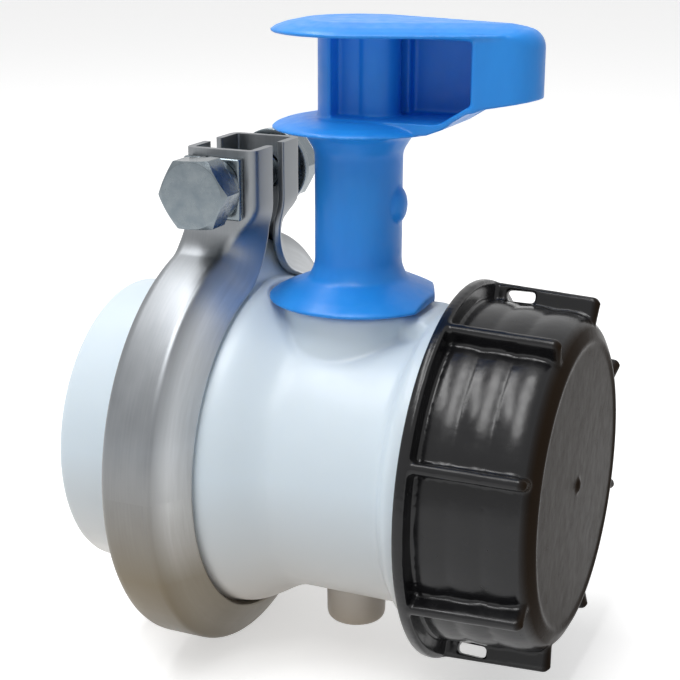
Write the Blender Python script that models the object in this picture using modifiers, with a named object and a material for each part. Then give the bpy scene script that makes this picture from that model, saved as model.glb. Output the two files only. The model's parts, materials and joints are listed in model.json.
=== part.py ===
# Clamp-on butterfly valve for the outlet of an intermediate bulk container.
# Flow runs along +X, the stem stands along +Z, and the origin is the centre of the
# spigot's open end. Stations called X are measured from the stem axis.
import math

import bmesh
import bpy
from mathutils import Matrix, Vector

MM = 0.001
GAP = 0.3 * MM

# How far cutters run past the stem, and past everything else
PAST_STEM = 12.0 * MM
PAST_PART = 30.0 * MM

# Where the stem axis stands, measured from the spigot's open end
STEM_X = 52.0 * MM

# Flow path
BORE_R = 24.8 * MM
LINER_BORE_R = 24.5 * MM
LINER_THICK = 1.5 * MM
LINER_HALF = 7.9 * MM
DISC_R = 24.1 * MM

# Tank spigot and the flange joint
SPIGOT_R = 30.15 * MM
SPIGOT_EDGE_X = -32.4 * MM
FLANGE_R = 41.1 * MM
SPIGOT_FACE_X = -27.6 * MM
BODY_FACE_X = -25.6 * MM
GASKET_INNER_R = 26.2 * MM
GASKET_OUTER_R = 38.0 * MM

# Valve body
BARREL_R = 28.4 * MM
COLLAR_R = 32.0 * MM
COLLAR_X = 12.4 * MM
NECK_R = 28.2 * MM
NECK_END_X = 41.0 * MM
BOSS_R = 14.5 * MM
BOSS_TOP_Z = 31.9 * MM
BOSS_NECK_R = 9.4 * MM
BOSS_NECK_TOP_Z = 35.2 * MM
LANDING_R = 18.1 * MM
LANDING_Z = 32.1 * MM
NUB_R = 6.1 * MM
NUB_BOTTOM_Z = -36.9 * MM

# Stem
STEM_R = 4.5 * MM
PIVOT_R = 4.0 * MM
PIVOT_BOTTOM_Z = -33.4 * MM
JOURNAL_R = 6.6 * MM
JOURNAL_BORE_R = 7.0 * MM
JOURNAL_BOTTOM_Z = 25.0 * MM
GROOVE_R = 4.8 * MM
GROOVE_HALF = 1.2 * MM
ORING_Z = (28.6 * MM, 32.6 * MM)
ORING_TUBE_R = 0.8 * MM
DRIVE_SIDE = 9.0 * MM
DRIVE_TOP_Z = 57.5 * MM
HUB_R = 6.6 * MM
HUB_END_Z = 23.9 * MM
SCREW_Z = 13.0 * MM
SCREW_R = 1.6 * MM
SCREW_HEAD_R = 3.2 * MM
SCREW_SEAT_Y = -5.5 * MM

# Handle
COLUMN_R = 8.5 * MM
SKIRT_R = 17.7 * MM
SKIRT_CUT = ((15.4, -30.0), (40.0, -30.0), (40.0, 30.0), (4.0, 30.0), (15.4, 2.0))
SKIRT_BOTTOM_Z = 32.5 * MM
PLATE_R = 16.8 * MM
PLATE_LOW_Z = 66.4 * MM
PLATE_HIGH_Z = 69.0 * MM
TOP_LOW_Z = 84.0 * MM
TOP_HIGH_Z = 86.4 * MM
RIM_DROP = ((6.0, 0.0), (2.6, 0.7), (0.9, 1.3), (0.0, 1.9))
TIP_X = 29.4 * MM
TIP_R = 6.5 * MM
GRIP_X = 24.0 * MM
GRIP_HALF_Y = 8.3 * MM
HEAD_R = 7.9 * MM
WINDOW_LEFT_X = -4.4 * MM
WINDOW_RIGHT_X = 24.6 * MM
WINDOW_BACK_Y = 4.2 * MM
POST_X = 3.9 * MM
POST_R = 4.2 * MM
PIN_Z = 50.0 * MM
PIN_R = 1.5 * MM

# Clamp band, with its bolt across two upturned channel ears
BAND_THICK = 1.5 * MM
BAND_R = 43.0 * MM
EAR_FACE_Y = 10.5 * MM
EAR_TOP_Z = 61.6 * MM
EAR_BEND_R = 5.0 * MM
BAND_SECTION = ((-18.6, 7.9), (-23.5, 0.0), (-34.4, 0.0), (-34.9, 6.6))
EAR_SECTION = ((-17.2, 8.2), (-17.2, 0.0), (-32.4, 0.0), (-32.4, 8.2))

# M8 x 40 bolt with its plates, washers and nut
BOLT_X = -25.4 * MM
BOLT_Z = 54.3 * MM
BOLT_R = 3.95 * MM
BOLT_HOLE_R = 4.3 * MM
HEX_FLATS = 13.0 * MM
HEX_TURN = math.radians(27.0)
HEAD_HIGH = 5.3 * MM
NUT_HIGH = 6.5 * MM
BOLT_LONG = 40.0 * MM
PLATE_SIDE = 12.0 * MM
PLATE_THICK = 2.0 * MM
LOCK_R = 6.4 * MM
LOCK_THICK = 2.1 * MM
WASHER_R = 8.0 * MM
WASHER_THICK = 1.6 * MM

# Outlet cap
CAP_REAR_X = 22.3 * MM
CAP_FLANGE_X = 24.6 * MM
CAP_FLANGE_R = 37.5 * MM
CAP_FACE_X = 46.0 * MM
CAP_INNER_R = 30.4 * MM
CAP_SEAT_X = 43.2 * MM
CAP_GASKET_X = 41.3 * MM
CAP_GASKET_THICK = 1.6 * MM
PANEL_REAR_R = 33.6 * MM
PANEL_FRONT_R = 32.4 * MM
PANEL_FRONT_X = 43.6 * MM
PANEL_WAVE = 0.25 * MM
PANEL_WAVES = 3
RIB_COUNT = 8
RIB_THICK = 2.2 * MM
RIB_REAR_R = 37.3 * MM
RIB_FRONT_R = 36.3 * MM
RIB_END_X = 45.6 * MM
RIB_PHASE = math.radians(20.0)

# Facets round a full turn
LARGE = 36
HANDLE_FACETS = 28
MEDIUM = 24
SMALL = 16

AXIS_TURN = {"X": (0.0, math.pi / 2, 0.0), "Y": (-math.pi / 2, 0.0, 0.0), "Z": (0.0, 0.0, 0.0)}


# Scene and object helpers
def clear_scene():
    for obj in list(bpy.data.objects):
        bpy.data.objects.remove(obj, do_unlink=True)


def new_collection(name):
    group = bpy.data.collections.new(name)
    bpy.context.scene.collection.children.link(group)
    return group


def make_material(name, color, roughness, metallic=0.0):
    mat = bpy.data.materials.new(name)
    mat.use_nodes = True
    shader = mat.node_tree.nodes["Principled BSDF"]
    shader.inputs["Base Color"].default_value = (*color, 1.0)
    shader.inputs["Roughness"].default_value = roughness
    shader.inputs["Metallic"].default_value = metallic
    return mat


def add_part(name, mesh, material, location=(0.0, 0.0, 0.0), axis="Z"):
    obj = bpy.data.objects.new(name, mesh)
    obj.location = location
    obj.rotation_euler = AXIS_TURN[axis]
    mesh.materials.clear()
    mesh.materials.append(material)
    PARTS.objects.link(obj)
    return obj


def add_cutter(name, mesh, location=(0.0, 0.0, 0.0), axis="Z"):
    obj = bpy.data.objects.new(name, mesh)
    obj.location = location
    obj.rotation_euler = AXIS_TURN[axis]
    obj.display_type = "WIRE"
    obj.hide_render = True
    CUTTERS.objects.link(obj)
    return obj


def boolean(obj, other, operation="DIFFERENCE"):
    mod = obj.modifiers.new(other.name, "BOOLEAN")
    mod.operation = operation
    mod.solver = "EXACT"
    mod.object = other


def bevel(obj, width, segments=2, angle=35.0):
    mod = obj.modifiers.new("Rounded edges", "BEVEL")
    mod.width = width
    mod.segments = segments
    mod.limit_method = "ANGLE"
    mod.angle_limit = math.radians(angle)


def evaluated_mesh(obj):
    bpy.context.view_layer.update()
    graph = bpy.context.evaluated_depsgraph_get()
    return bpy.data.meshes.new_from_object(obj.evaluated_get(graph))


def weld(mesh, distance=0.002 * MM):
    bm = bmesh.new()
    bm.from_mesh(mesh)
    bmesh.ops.remove_doubles(bm, verts=bm.verts, dist=distance)
    bm.to_mesh(mesh)
    bm.free()


def settle(obj, sharp_angle=32.0):
    mesh = evaluated_mesh(obj)
    weld(mesh)
    materials = list(obj.data.materials)
    obj.modifiers.clear()
    obj.data = mesh
    mesh.materials.clear()
    for material in materials:
        mesh.materials.append(material)
    mesh.shade_smooth()
    mesh.set_sharp_from_angle(angle=math.radians(sharp_angle))


# Shape helpers
def profile_mesh(name, points, closed):
    mesh = bpy.data.meshes.new(name)
    verts = [(radius, 0.0, height) for height, radius in points]
    edges = [(i, i + 1) for i in range(len(verts) - 1)]
    if closed:
        edges.append((len(verts) - 1, 0))
    mesh.from_pydata(verts, edges, [])
    return mesh


def turn(obj, steps):
    mod = obj.modifiers.new("Turned", "SCREW")
    mod.axis = "Z"
    mod.angle = 2 * math.pi
    mod.steps = steps
    mod.render_steps = steps
    mod.use_merge_vertices = True
    mod.merge_threshold = 0.01 * MM
    mod.use_smooth_shade = True


def turned_part(name, points, material, location=(0.0, 0.0, 0.0), axis="X", steps=LARGE, closed=True):
    obj = add_part(name, profile_mesh(name, points, closed), material, location, axis)
    turn(obj, steps)
    return obj


def turned_cutter(name, points, location=(0.0, 0.0, 0.0), axis="X", steps=LARGE, closed=False):
    obj = add_cutter(name, profile_mesh(name, points, closed), location, axis)
    turn(obj, steps)
    return obj


def rod_cutter(name, radius, low, high, location, axis="Z", steps=SMALL):
    points = [(high, 0.0), (high, radius), (low, radius), (low, 0.0)]
    return turned_cutter(name, points, location, axis, steps)


def box_mesh(name, low, high):
    bm = bmesh.new()
    bmesh.ops.create_cube(bm, size=1.0)
    low = Vector(low)
    high = Vector(high)
    size = high - low
    bmesh.ops.scale(bm, vec=size, verts=bm.verts)
    bmesh.ops.translate(bm, vec=(low + high) / 2, verts=bm.verts)
    mesh = bpy.data.meshes.new(name)
    bm.to_mesh(mesh)
    bm.free()
    return mesh


def outline_mesh(name, points, low, high):
    """Solid mesh of a flat outline in XY, standing from low to high."""
    curve = bpy.data.curves.new(name, "CURVE")
    curve.dimensions = "2D"
    curve.fill_mode = "BOTH"
    curve.extrude = (high - low) / 2
    spline = curve.splines.new("POLY")
    spline.points.add(len(points) - 1)
    for point, (x, y) in zip(spline.points, points):
        point.co = (x, y, 0.0, 1.0)
    spline.use_cyclic_u = True
    guide = bpy.data.objects.new(name, curve)
    CUTTERS.objects.link(guide)
    mesh = evaluated_mesh(guide)
    bpy.data.objects.remove(guide, do_unlink=True)
    weld(mesh)
    mesh.transform(Matrix.Translation((0.0, 0.0, (low + high) / 2)))
    return mesh


def arc(centre_x, centre_y, radius, start, end, count):
    """Points along an arc, angles in degrees, both ends included."""
    points = []
    for i in range(count + 1):
        angle = math.radians(start + (end - start) * i / count)
        points.append((centre_x + radius * math.cos(angle), centre_y + radius * math.sin(angle)))
    return points


def scaled(points):
    return [(a * MM, b * MM) for a, b in points]


def upright(mesh):
    """Turn a mesh drawn in XY so that its Y points up along Z."""
    mesh.transform(Matrix.Rotation(math.pi / 2, 4, "X"))
    return mesh


# Tank spigot, flange gasket and valve body
def make_tank_spigot(material):
    outer = [(SPIGOT_FACE_X, FLANGE_R - 0.5 * MM), (SPIGOT_FACE_X - 0.5 * MM, FLANGE_R)]
    outer += [(SPIGOT_EDGE_X + 0.4 * MM, FLANGE_R), (SPIGOT_EDGE_X, FLANGE_R - 0.5 * MM)]
    fillet_r = 3.0 * MM
    fillet = arc(SPIGOT_EDGE_X - fillet_r, SPIGOT_R + fillet_r, fillet_r, 0, -90, 3)
    end = [(-STEM_X + 0.9 * MM, SPIGOT_R), (-STEM_X + 0.2 * MM, SPIGOT_R - 0.3 * MM)]
    end += [(-STEM_X, SPIGOT_R - 1.0 * MM), (-STEM_X, BORE_R + 0.7 * MM), (-STEM_X + 0.7 * MM, BORE_R)]
    points = outer + fillet + end + [(SPIGOT_FACE_X, BORE_R)]
    return turned_part("tank_spigot", points, material, (STEM_X, 0.0, 0.0))


def make_flange_gasket(material):
    front = BODY_FACE_X - GAP
    rear = SPIGOT_FACE_X + GAP
    points = [(front, GASKET_OUTER_R), (rear, GASKET_OUTER_R)]
    points += [(rear, GASKET_INNER_R), (front, GASKET_INNER_R)]
    return turned_part("flange_gasket", points, material, (STEM_X, 0.0, 0.0))


def body_outline():
    """Outer profile of the body from the outlet end back to the tank flange."""
    neck = [(NECK_END_X, 0.0), (NECK_END_X, NECK_R - 0.8 * MM), (NECK_END_X - 0.8 * MM, NECK_R)]
    neck += [(COLLAR_X + 3.4 * MM, NECK_R), (COLLAR_X + 3.2 * MM, COLLAR_R - 1.6 * MM)]
    collar = scaled([(2.2, -0.5), (1.0, 0.0), (-0.4, -0.2), (-1.6, -1.0), (-2.8, -2.8)])
    collar = [(COLLAR_X + x, COLLAR_R + r) for x, r in collar]
    barrel = [(COLLAR_X - 3.6 * MM, BARREL_R), (-5.4 * MM, BARREL_R)]
    flare = scaled([(-7.4, 28.9), (-10.0, 30.4), (-13.2, 32.6), (-15.8, 33.7), (-18.2, 34.0)])
    flange = [(-20.2 * MM, 34.0 * MM), (-24.4 * MM, FLANGE_R - 0.4 * MM), (-24.7 * MM, FLANGE_R)]
    face = [(BODY_FACE_X + 0.3 * MM, FLANGE_R), (BODY_FACE_X, FLANGE_R - 0.3 * MM), (BODY_FACE_X, 0.0)]
    return neck + collar + barrel + flare + flange + face


def make_valve_body(material):
    axis_at = (STEM_X, 0.0, 0.0)
    body = turned_part("valve_body", body_outline(), material, axis_at, closed=False)
    boss_points = [(BOSS_NECK_TOP_Z, 0.0), (BOSS_NECK_TOP_Z, BOSS_NECK_R - 0.5 * MM)]
    boss_points += [(BOSS_NECK_TOP_Z - 0.5 * MM, BOSS_NECK_R), (BOSS_TOP_Z, BOSS_NECK_R)]
    boss_points += [(BOSS_TOP_Z, BOSS_R - 0.6 * MM), (BOSS_TOP_Z - 0.6 * MM, BOSS_R)]
    boss_points += [(27.5 * MM, BOSS_R), (24.5 * MM, BOSS_R + 0.5 * MM), (22.0 * MM, BOSS_R + 1.6 * MM)]
    boss_points += [(20.0 * MM, BOSS_R + 1.6 * MM), (20.0 * MM, 0.0)]
    boolean(body, turned_cutter("stem_boss", boss_points, axis_at, "Z", MEDIUM), "UNION")
    nub_points = [(-20.0 * MM, 0.0), (-20.0 * MM, NUB_R + 0.2 * MM), (NUB_BOTTOM_Z + 1.5 * MM, NUB_R)]
    nub_points += [(NUB_BOTTOM_Z + 0.4 * MM, NUB_R - 0.4 * MM), (NUB_BOTTOM_Z, NUB_R - 1.5 * MM)]
    nub_points += [(NUB_BOTTOM_Z, 0.0)]
    boolean(body, turned_cutter("pivot_boss", nub_points, axis_at, "Z", MEDIUM), "UNION")
    landing = [(LANDING_Z + 8.0 * MM, LANDING_R), (LANDING_Z, LANDING_R)]
    landing += [(LANDING_Z, BOSS_NECK_R + MM), (LANDING_Z + 8.0 * MM, BOSS_NECK_R + MM)]
    boolean(body, turned_cutter("skirt_landing", landing, axis_at, "Z", MEDIUM, closed=True))
    recess_r = LINER_BORE_R + LINER_THICK + GAP
    recess_x = LINER_HALF + GAP
    bore = [(NECK_END_X + MM, 0.0), (NECK_END_X + MM, BORE_R), (recess_x, BORE_R), (recess_x, recess_r)]
    bore += [(-recess_x, recess_r), (-recess_x, BORE_R), (BODY_FACE_X - MM, BORE_R), (BODY_FACE_X - MM, 0.0)]
    boolean(body, turned_cutter("flow_bore", bore, axis_at, "X", LARGE))
    top = BOSS_NECK_TOP_Z + MM
    boolean(body, rod_cutter("journal_bore", JOURNAL_BORE_R, 18.0 * MM, top, axis_at, steps=MEDIUM))
    pivot_floor = PIVOT_BOTTOM_Z - GAP
    boolean(body, rod_cutter("pivot_bore", PIVOT_R + GAP, pivot_floor, -18.0 * MM, axis_at))
    return body


# Liner, disc and stem
def make_seat_liner(material):
    outer_r = LINER_BORE_R + LINER_THICK
    edge = 0.3 * MM
    points = [(LINER_HALF, outer_r), (-LINER_HALF, outer_r), (-LINER_HALF, LINER_BORE_R + edge)]
    points += [(-LINER_HALF + edge, LINER_BORE_R), (LINER_HALF - edge, LINER_BORE_R)]
    points += [(LINER_HALF, LINER_BORE_R + edge)]
    liner = turned_part("seat_liner", points, material, (STEM_X, 0.0, 0.0))
    axis_at = (STEM_X, 0.0, 0.0)
    boolean(liner, rod_cutter("liner_top_hole", JOURNAL_BORE_R, 0.0, PAST_PART, axis_at, steps=MEDIUM))
    boolean(liner, rod_cutter("liner_low_hole", PIVOT_R + GAP, -PAST_PART, 0.0, axis_at))
    return liner


def make_disc(material):
    axis_at = (STEM_X, 0.0, 0.0)
    half = scaled([(3.4, 0.0), (3.2, 8.0), (2.3, 19.0), (1.9, 22.6), (1.2, 23.7)])
    rim = [(0.5 * MM, DISC_R)]
    points = half + rim + [(-x, r) for x, r in reversed(half + rim)]
    disc = turned_part("disc", points, material, axis_at, "Y", closed=False)
    hub_end = [(math.sqrt(HUB_END_Z ** 2 - r ** 2), r) for r in (0.0, HUB_R / 2, HUB_R)]
    hub_points = hub_end + [(-z, r) for z, r in reversed(hub_end)]
    boolean(disc, turned_cutter("disc_hub", hub_points, axis_at, "Z", MEDIUM), "UNION")
    boolean(disc, rod_cutter("disc_stem_hole", STEM_R + GAP, -PAST_PART, PAST_PART, axis_at))
    seat_r = SCREW_HEAD_R + 0.4 * MM
    for label, z in (("upper", SCREW_Z), ("lower", -SCREW_Z)):
        screw_at = (STEM_X, 0.0, z)
        boolean(disc, rod_cutter("disc_hole_" + label, SCREW_R + GAP, -PAST_STEM, PAST_STEM, screw_at, "Y"))
        boolean(disc, rod_cutter("disc_seat_" + label, seat_r, -PAST_STEM, SCREW_SEAT_Y, screw_at, "Y"))
    return disc


def make_disc_screw(label, z, material):
    """Pan-headed screw that pins the disc's hub to the stem."""
    seat = SCREW_SEAT_Y - GAP
    end = 7.4 * MM
    points = [(end, 0.0), (end, SCREW_R - 0.4 * MM), (end - 0.3 * MM, SCREW_R), (seat, SCREW_R)]
    points += [(seat, SCREW_HEAD_R - 0.3 * MM), (seat - 0.4 * MM, SCREW_HEAD_R)]
    points += [(seat - 1.2 * MM, SCREW_HEAD_R - 0.3 * MM)]
    points += [(seat - 1.5 * MM, 1.8 * MM), (seat - 1.5 * MM, 0.0)]
    return turned_part("disc_screw_" + label, points, material, (STEM_X, 0.0, z), "Y", SMALL, closed=False)


def make_stem(material):
    axis_at = (STEM_X, 0.0, 0.0)
    top = BOSS_NECK_TOP_Z - 0.2 * MM
    points = [(top, 0.0), (top, JOURNAL_R)]
    for z in reversed(ORING_Z):
        points += [(z + GROOVE_HALF, JOURNAL_R), (z + GROOVE_HALF, GROOVE_R)]
        points += [(z - GROOVE_HALF, GROOVE_R), (z - GROOVE_HALF, JOURNAL_R)]
    points += [(JOURNAL_BOTTOM_Z, JOURNAL_R), (JOURNAL_BOTTOM_Z, STEM_R), (-23.0 * MM, STEM_R)]
    points += [(-23.5 * MM, PIVOT_R), (PIVOT_BOTTOM_Z + 0.6 * MM, PIVOT_R)]
    points += [(PIVOT_BOTTOM_Z, PIVOT_R - 0.6 * MM), (PIVOT_BOTTOM_Z, 0.0)]
    stem = turned_part("stem", points, material, axis_at, "Z", MEDIUM, closed=False)
    half = DRIVE_SIDE / 2
    square = box_mesh("stem_drive", (-half, -half, top - MM), (half, half, DRIVE_TOP_Z))
    drive = add_cutter("stem_drive", square, axis_at)
    bevel(drive, 0.6 * MM, 1)
    boolean(stem, drive, "UNION")
    pin_at = (STEM_X, 0.0, PIN_Z)
    boolean(stem, rod_cutter("stem_pin_hole", PIN_R + GAP, -PAST_STEM, PAST_STEM, pin_at, "X"))
    for label, z in (("upper", SCREW_Z), ("lower", -SCREW_Z)):
        screw_at = (STEM_X, 0.0, z)
        boolean(stem, rod_cutter("stem_hole_" + label, SCREW_R + GAP, -PAST_STEM, PAST_STEM, screw_at, "Y"))
    return stem


def make_oring(name, z, material):
    ring_r = GROOVE_R + GAP + ORING_TUBE_R
    points = [(y, x) for x, y in arc(ring_r, 0.0, ORING_TUBE_R, 90, -210, 5)]
    return turned_part(name, points, material, (STEM_X, 0.0, z), "Z", MEDIUM)


# Handle
def plate_lean():
    """Angle in degrees between the top plate's straight sides and its length."""
    return math.degrees(math.asin((PLATE_R - TIP_R) / TIP_X))


def plate_outline(inset):
    """Outline round the large circle on the axis and the small one at the tip."""
    lean = plate_lean()
    round_end = arc(0.0, 0.0, PLATE_R - inset, 90 - lean, 270 + lean, 18)
    return round_end + arc(TIP_X, 0.0, TIP_R - inset, -90 + lean, 90 - lean, 8)


def top_plate_mesh():
    """Plate with a flat underside and a top that falls away towards its thin rim."""
    bm = bmesh.new()
    levels = [(inset * MM, TOP_HIGH_Z - drop * MM) for inset, drop in RIM_DROP]
    rings = []
    for inset, z in levels + [(0.0, TOP_LOW_Z)]:
        rings.append([bm.verts.new((x, y, z)) for x, y in plate_outline(inset)])
    size = len(rings[0])
    for first, second in zip(rings, rings[1:]):
        for i in range(size):
            j = (i + 1) % size
            bm.faces.new((first[i], first[j], second[j], second[i]))
    bm.faces.new(rings[0])
    bm.faces.new(rings[-1])
    bmesh.ops.recalc_face_normals(bm, faces=bm.faces)
    mesh = bpy.data.meshes.new("top_plate")
    bm.to_mesh(mesh)
    bm.free()
    return mesh


def grip_outline():
    """Outline of the grip under the top plate: round head, straight sides and tip."""
    lean = plate_lean()
    head = arc(0.0, 0.0, HEAD_R, 90, 270, 12)
    tip = arc(TIP_X, 0.0, TIP_R, -90 + lean, 90 - lean, 8)
    return head + [(GRIP_X, -GRIP_HALF_Y)] + tip + [(GRIP_X, GRIP_HALF_Y)]


def handle_profile():
    inner_r = BOSS_NECK_R + 0.5 * MM
    plate = [(PLATE_HIGH_Z, 0.0)]
    plate += [(PLATE_HIGH_Z - drop * MM, PLATE_R - inset * MM) for inset, drop in RIM_DROP]
    plate += [(PLATE_LOW_Z + 0.1 * MM, PLATE_R - 0.5 * MM)]
    under = scaled([(-0.1, 13.2), (-1.0, 11.0), (-3.0, 9.3), (-7.0, 8.5)])
    under = [(PLATE_LOW_Z + z, r) for z, r in under]
    flare = scaled([(6.2, 8.5), (4.9, 9.0), (4.2, 10.2), (3.3, 12.3), (2.3, 14.6), (1.0, 17.0)])
    flare = [(SKIRT_BOTTOM_Z + z, r) for z, r in flare]
    foot = [(SKIRT_BOTTOM_Z + 0.4 * MM, SKIRT_R), (SKIRT_BOTTOM_Z, SKIRT_R - 0.5 * MM)]
    hollow = [(SKIRT_BOTTOM_Z, 15.6 * MM), (SKIRT_BOTTOM_Z + 1.2 * MM, 13.0 * MM)]
    hollow += [(SKIRT_BOTTOM_Z + 2.0 * MM, inner_r), (BOSS_NECK_TOP_Z + 0.5 * MM, inner_r)]
    hollow += [(BOSS_NECK_TOP_Z + 0.5 * MM, 0.0)]
    return plate + under + flare + foot + hollow


def make_handle(material):
    axis_at = (STEM_X, 0.0, 0.0)
    handle = turned_part("handle", handle_profile(), material, axis_at, "Z", HANDLE_FACETS, closed=False)
    grip = outline_mesh("grip", grip_outline(), PLATE_LOW_Z + 0.4 * MM, TOP_LOW_Z + MM)
    boolean(handle, add_cutter("grip", grip, axis_at), "UNION")
    boolean(handle, add_cutter("top_plate", top_plate_mesh(), axis_at), "UNION")
    boolean(handle, grip_underside_cutter(axis_at))
    boolean(handle, window_cutter(axis_at))
    side = DRIVE_SIDE / 2 + GAP
    low = SKIRT_BOTTOM_Z
    socket = box_mesh("drive_socket", (-side, -side, low), (side, side, DRIVE_TOP_Z + GAP))
    boolean(handle, add_cutter("drive_socket", socket, axis_at))
    cut = outline_mesh("skirt_cut", scaled(SKIRT_CUT), SKIRT_BOTTOM_Z - MM, PIN_Z - 5 * MM)
    boolean(handle, add_cutter("skirt_cut", cut, axis_at))
    boolean(handle, pin_pad(axis_at), "UNION")
    pin_at = (STEM_X, 0.0, PIN_Z)
    boolean(handle, rod_cutter("handle_pin_hole", PIN_R + GAP, -PAST_STEM, PAST_STEM, pin_at, "X"))
    return handle


def grip_underside_cutter(axis_at):
    slope = [(15.4, 66.0), (19.5, 67.6), (24.0, 70.4), (27.0, 71.6), (40.0, 73.9)]
    outline = scaled(slope + [(40.0, 60.0), (15.4, 60.0)])
    mesh = upright(outline_mesh("grip_underside", outline, -PAST_PART, PAST_PART))
    return add_cutter("grip_underside", mesh, axis_at)


def window_cutter(axis_at):
    """Open pocket in the head's front, with the post and its web left standing."""
    low = PLATE_HIGH_Z + 0.3 * MM
    high = TOP_LOW_Z - 0.3 * MM
    mesh = box_mesh("window", (WINDOW_LEFT_X, -PAST_PART, low), (WINDOW_RIGHT_X, WINDOW_BACK_Y, high))
    window = add_cutter("window", mesh, axis_at)
    bevel(window, 1.0 * MM, 2)
    post_at = (STEM_X + POST_X, 0.0, 0.0)
    boolean(window, rod_cutter("window_post", POST_R, low - MM, high + MM, post_at))
    web = box_mesh("post_web", (POST_X - 1.6 * MM, 0.0, low - MM), (POST_X + 1.6 * MM, 6 * MM, high + MM))
    boolean(window, add_cutter("post_web", web, axis_at))
    return window


def pin_pad(axis_at):
    bm = bmesh.new()
    bmesh.ops.create_uvsphere(bm, u_segments=16, v_segments=10, radius=1.0)
    bmesh.ops.scale(bm, vec=(1.8 * MM, 3.0 * MM, 4.0 * MM), verts=bm.verts)
    bmesh.ops.translate(bm, vec=(COLUMN_R - 0.9 * MM, 0.0, PIN_Z), verts=bm.verts)
    mesh = bpy.data.meshes.new("pin_pad")
    bm.to_mesh(mesh)
    bm.free()
    return add_cutter("pin_pad", mesh, axis_at)


def make_handle_pin(material):
    half = COLUMN_R - 0.6 * MM
    chamfer = 0.4 * MM
    points = [(half, 0.0), (half, PIN_R - chamfer), (half - chamfer, PIN_R)]
    points += [(-half + chamfer, PIN_R), (-half, PIN_R - chamfer), (-half, 0.0)]
    return turned_part("handle_pin", points, material, (STEM_X, 0.0, PIN_Z), "X", SMALL, closed=False)


# Clamp band
def fillet_chain(corners, radius, count):
    """Open chain through corners, with each inner corner rounded."""
    chain = [Vector(corners[0])]
    for i in range(1, len(corners) - 1):
        corner = Vector(corners[i])
        back = (Vector(corners[i - 1]) - corner).normalized()
        ahead = (Vector(corners[i + 1]) - corner).normalized()
        half = back.angle(ahead) / 2
        reach = radius / math.tan(half)
        for k in range(count + 1):
            t = k / count
            start = corner + back * reach
            end = corner + ahead * reach
            chain.append(start * (1 - t) ** 2 + corner * 2 * t * (1 - t) + end * t ** 2)
    chain.append(Vector(corners[-1]))
    return chain


def offset_chain(corners, distance):
    """Corners of the chain moved inward, along the mitre at each one."""
    moved = []
    for i, corner in enumerate(corners):
        corner = Vector(corner)
        normals = []
        if i > 0:
            along = (corner - Vector(corners[i - 1])).normalized()
            normals.append(Vector((-along.y, along.x)))
        if i < len(corners) - 1:
            along = (Vector(corners[i + 1]) - corner).normalized()
            normals.append(Vector((-along.y, along.x)))
        mitre = sum(normals, Vector((0.0, 0.0))).normalized()
        moved.append(corner - mitre * (distance / mitre.dot(normals[0])))
    return moved


def band_section(blend):
    """Closed section as (x, depth) points: blend 0 on the band and 1 on the ear."""
    corners = []
    for (x0, d0), (x1, d1) in zip(BAND_SECTION, EAR_SECTION):
        corners.append(((x0 + (x1 - x0) * blend) * MM, (d0 + (d1 - d0) * blend) * MM))
    outer = fillet_chain(corners, 2.2 * MM, 2)
    inner = fillet_chain(offset_chain(corners, BAND_THICK), 0.7 * MM, 2)
    return outer + list(reversed(inner))


def band_path():
    """Stations on the crown's outer line: (y, z), inward direction and blend."""
    centre_y = EAR_FACE_Y + EAR_BEND_R
    centre_z = math.sqrt((BAND_R + EAR_BEND_R) ** 2 - centre_y ** 2)
    lift = math.atan2(centre_z, centre_y)
    stations = []
    count = 16
    for i in range(count + 1):
        angle = -math.pi / 2 + (lift + math.pi / 2) * i / count
        out = Vector((-math.cos(angle), math.sin(angle)))
        stations.append((out * BAND_R, -out, 0.0))
    centre = Vector((-centre_y, centre_z))
    for i in range(1, 6):
        angle = lift * (i / 5 - 1)
        inward = Vector((math.cos(angle), math.sin(angle)))
        blend = max(0.0, i - 2) * 0.12
        stations.append((centre + inward * EAR_BEND_R, inward, blend))
    for z, blend in ((centre_z + 2.0 * MM, 0.75), (centre_z + 4.5 * MM, 1.0), (EAR_TOP_Z, 1.0)):
        stations.append((Vector((-EAR_FACE_Y, z)), Vector((1.0, 0.0)), blend))
    return stations


def make_clamp_band(material):
    """Half of the band and one ear as a loft, mirrored across the middle plane."""
    bm = bmesh.new()
    rings = []
    for place, inward, blend in band_path():
        ring = []
        for x, depth in band_section(blend):
            point = place + inward * depth
            ring.append(bm.verts.new((x, point.x, point.y)))
        rings.append(ring)
    size = len(rings[0])
    for first, second in zip(rings, rings[1:]):
        for i in range(size):
            j = (i + 1) % size
            bm.faces.new((first[i], first[j], second[j], second[i]))
    bm.faces.new(rings[-1])
    bmesh.ops.recalc_face_normals(bm, faces=bm.faces)
    for vert in rings[0]:
        vert.co.y = 0.0
    mesh = bpy.data.meshes.new("clamp_band")
    bm.to_mesh(mesh)
    bm.free()
    band = add_part("clamp_band", mesh, material, (STEM_X, 0.0, 0.0))
    mirror = band.modifiers.new("Other half", "MIRROR")
    mirror.use_axis = (False, True, False)
    mirror.merge_threshold = 0.05 * MM
    bolt_at = (STEM_X + BOLT_X, 0.0, BOLT_Z)
    boolean(band, rod_cutter("ear_holes", BOLT_HOLE_R, -PAST_PART, PAST_PART, bolt_at, "Y"))
    return band


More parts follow.
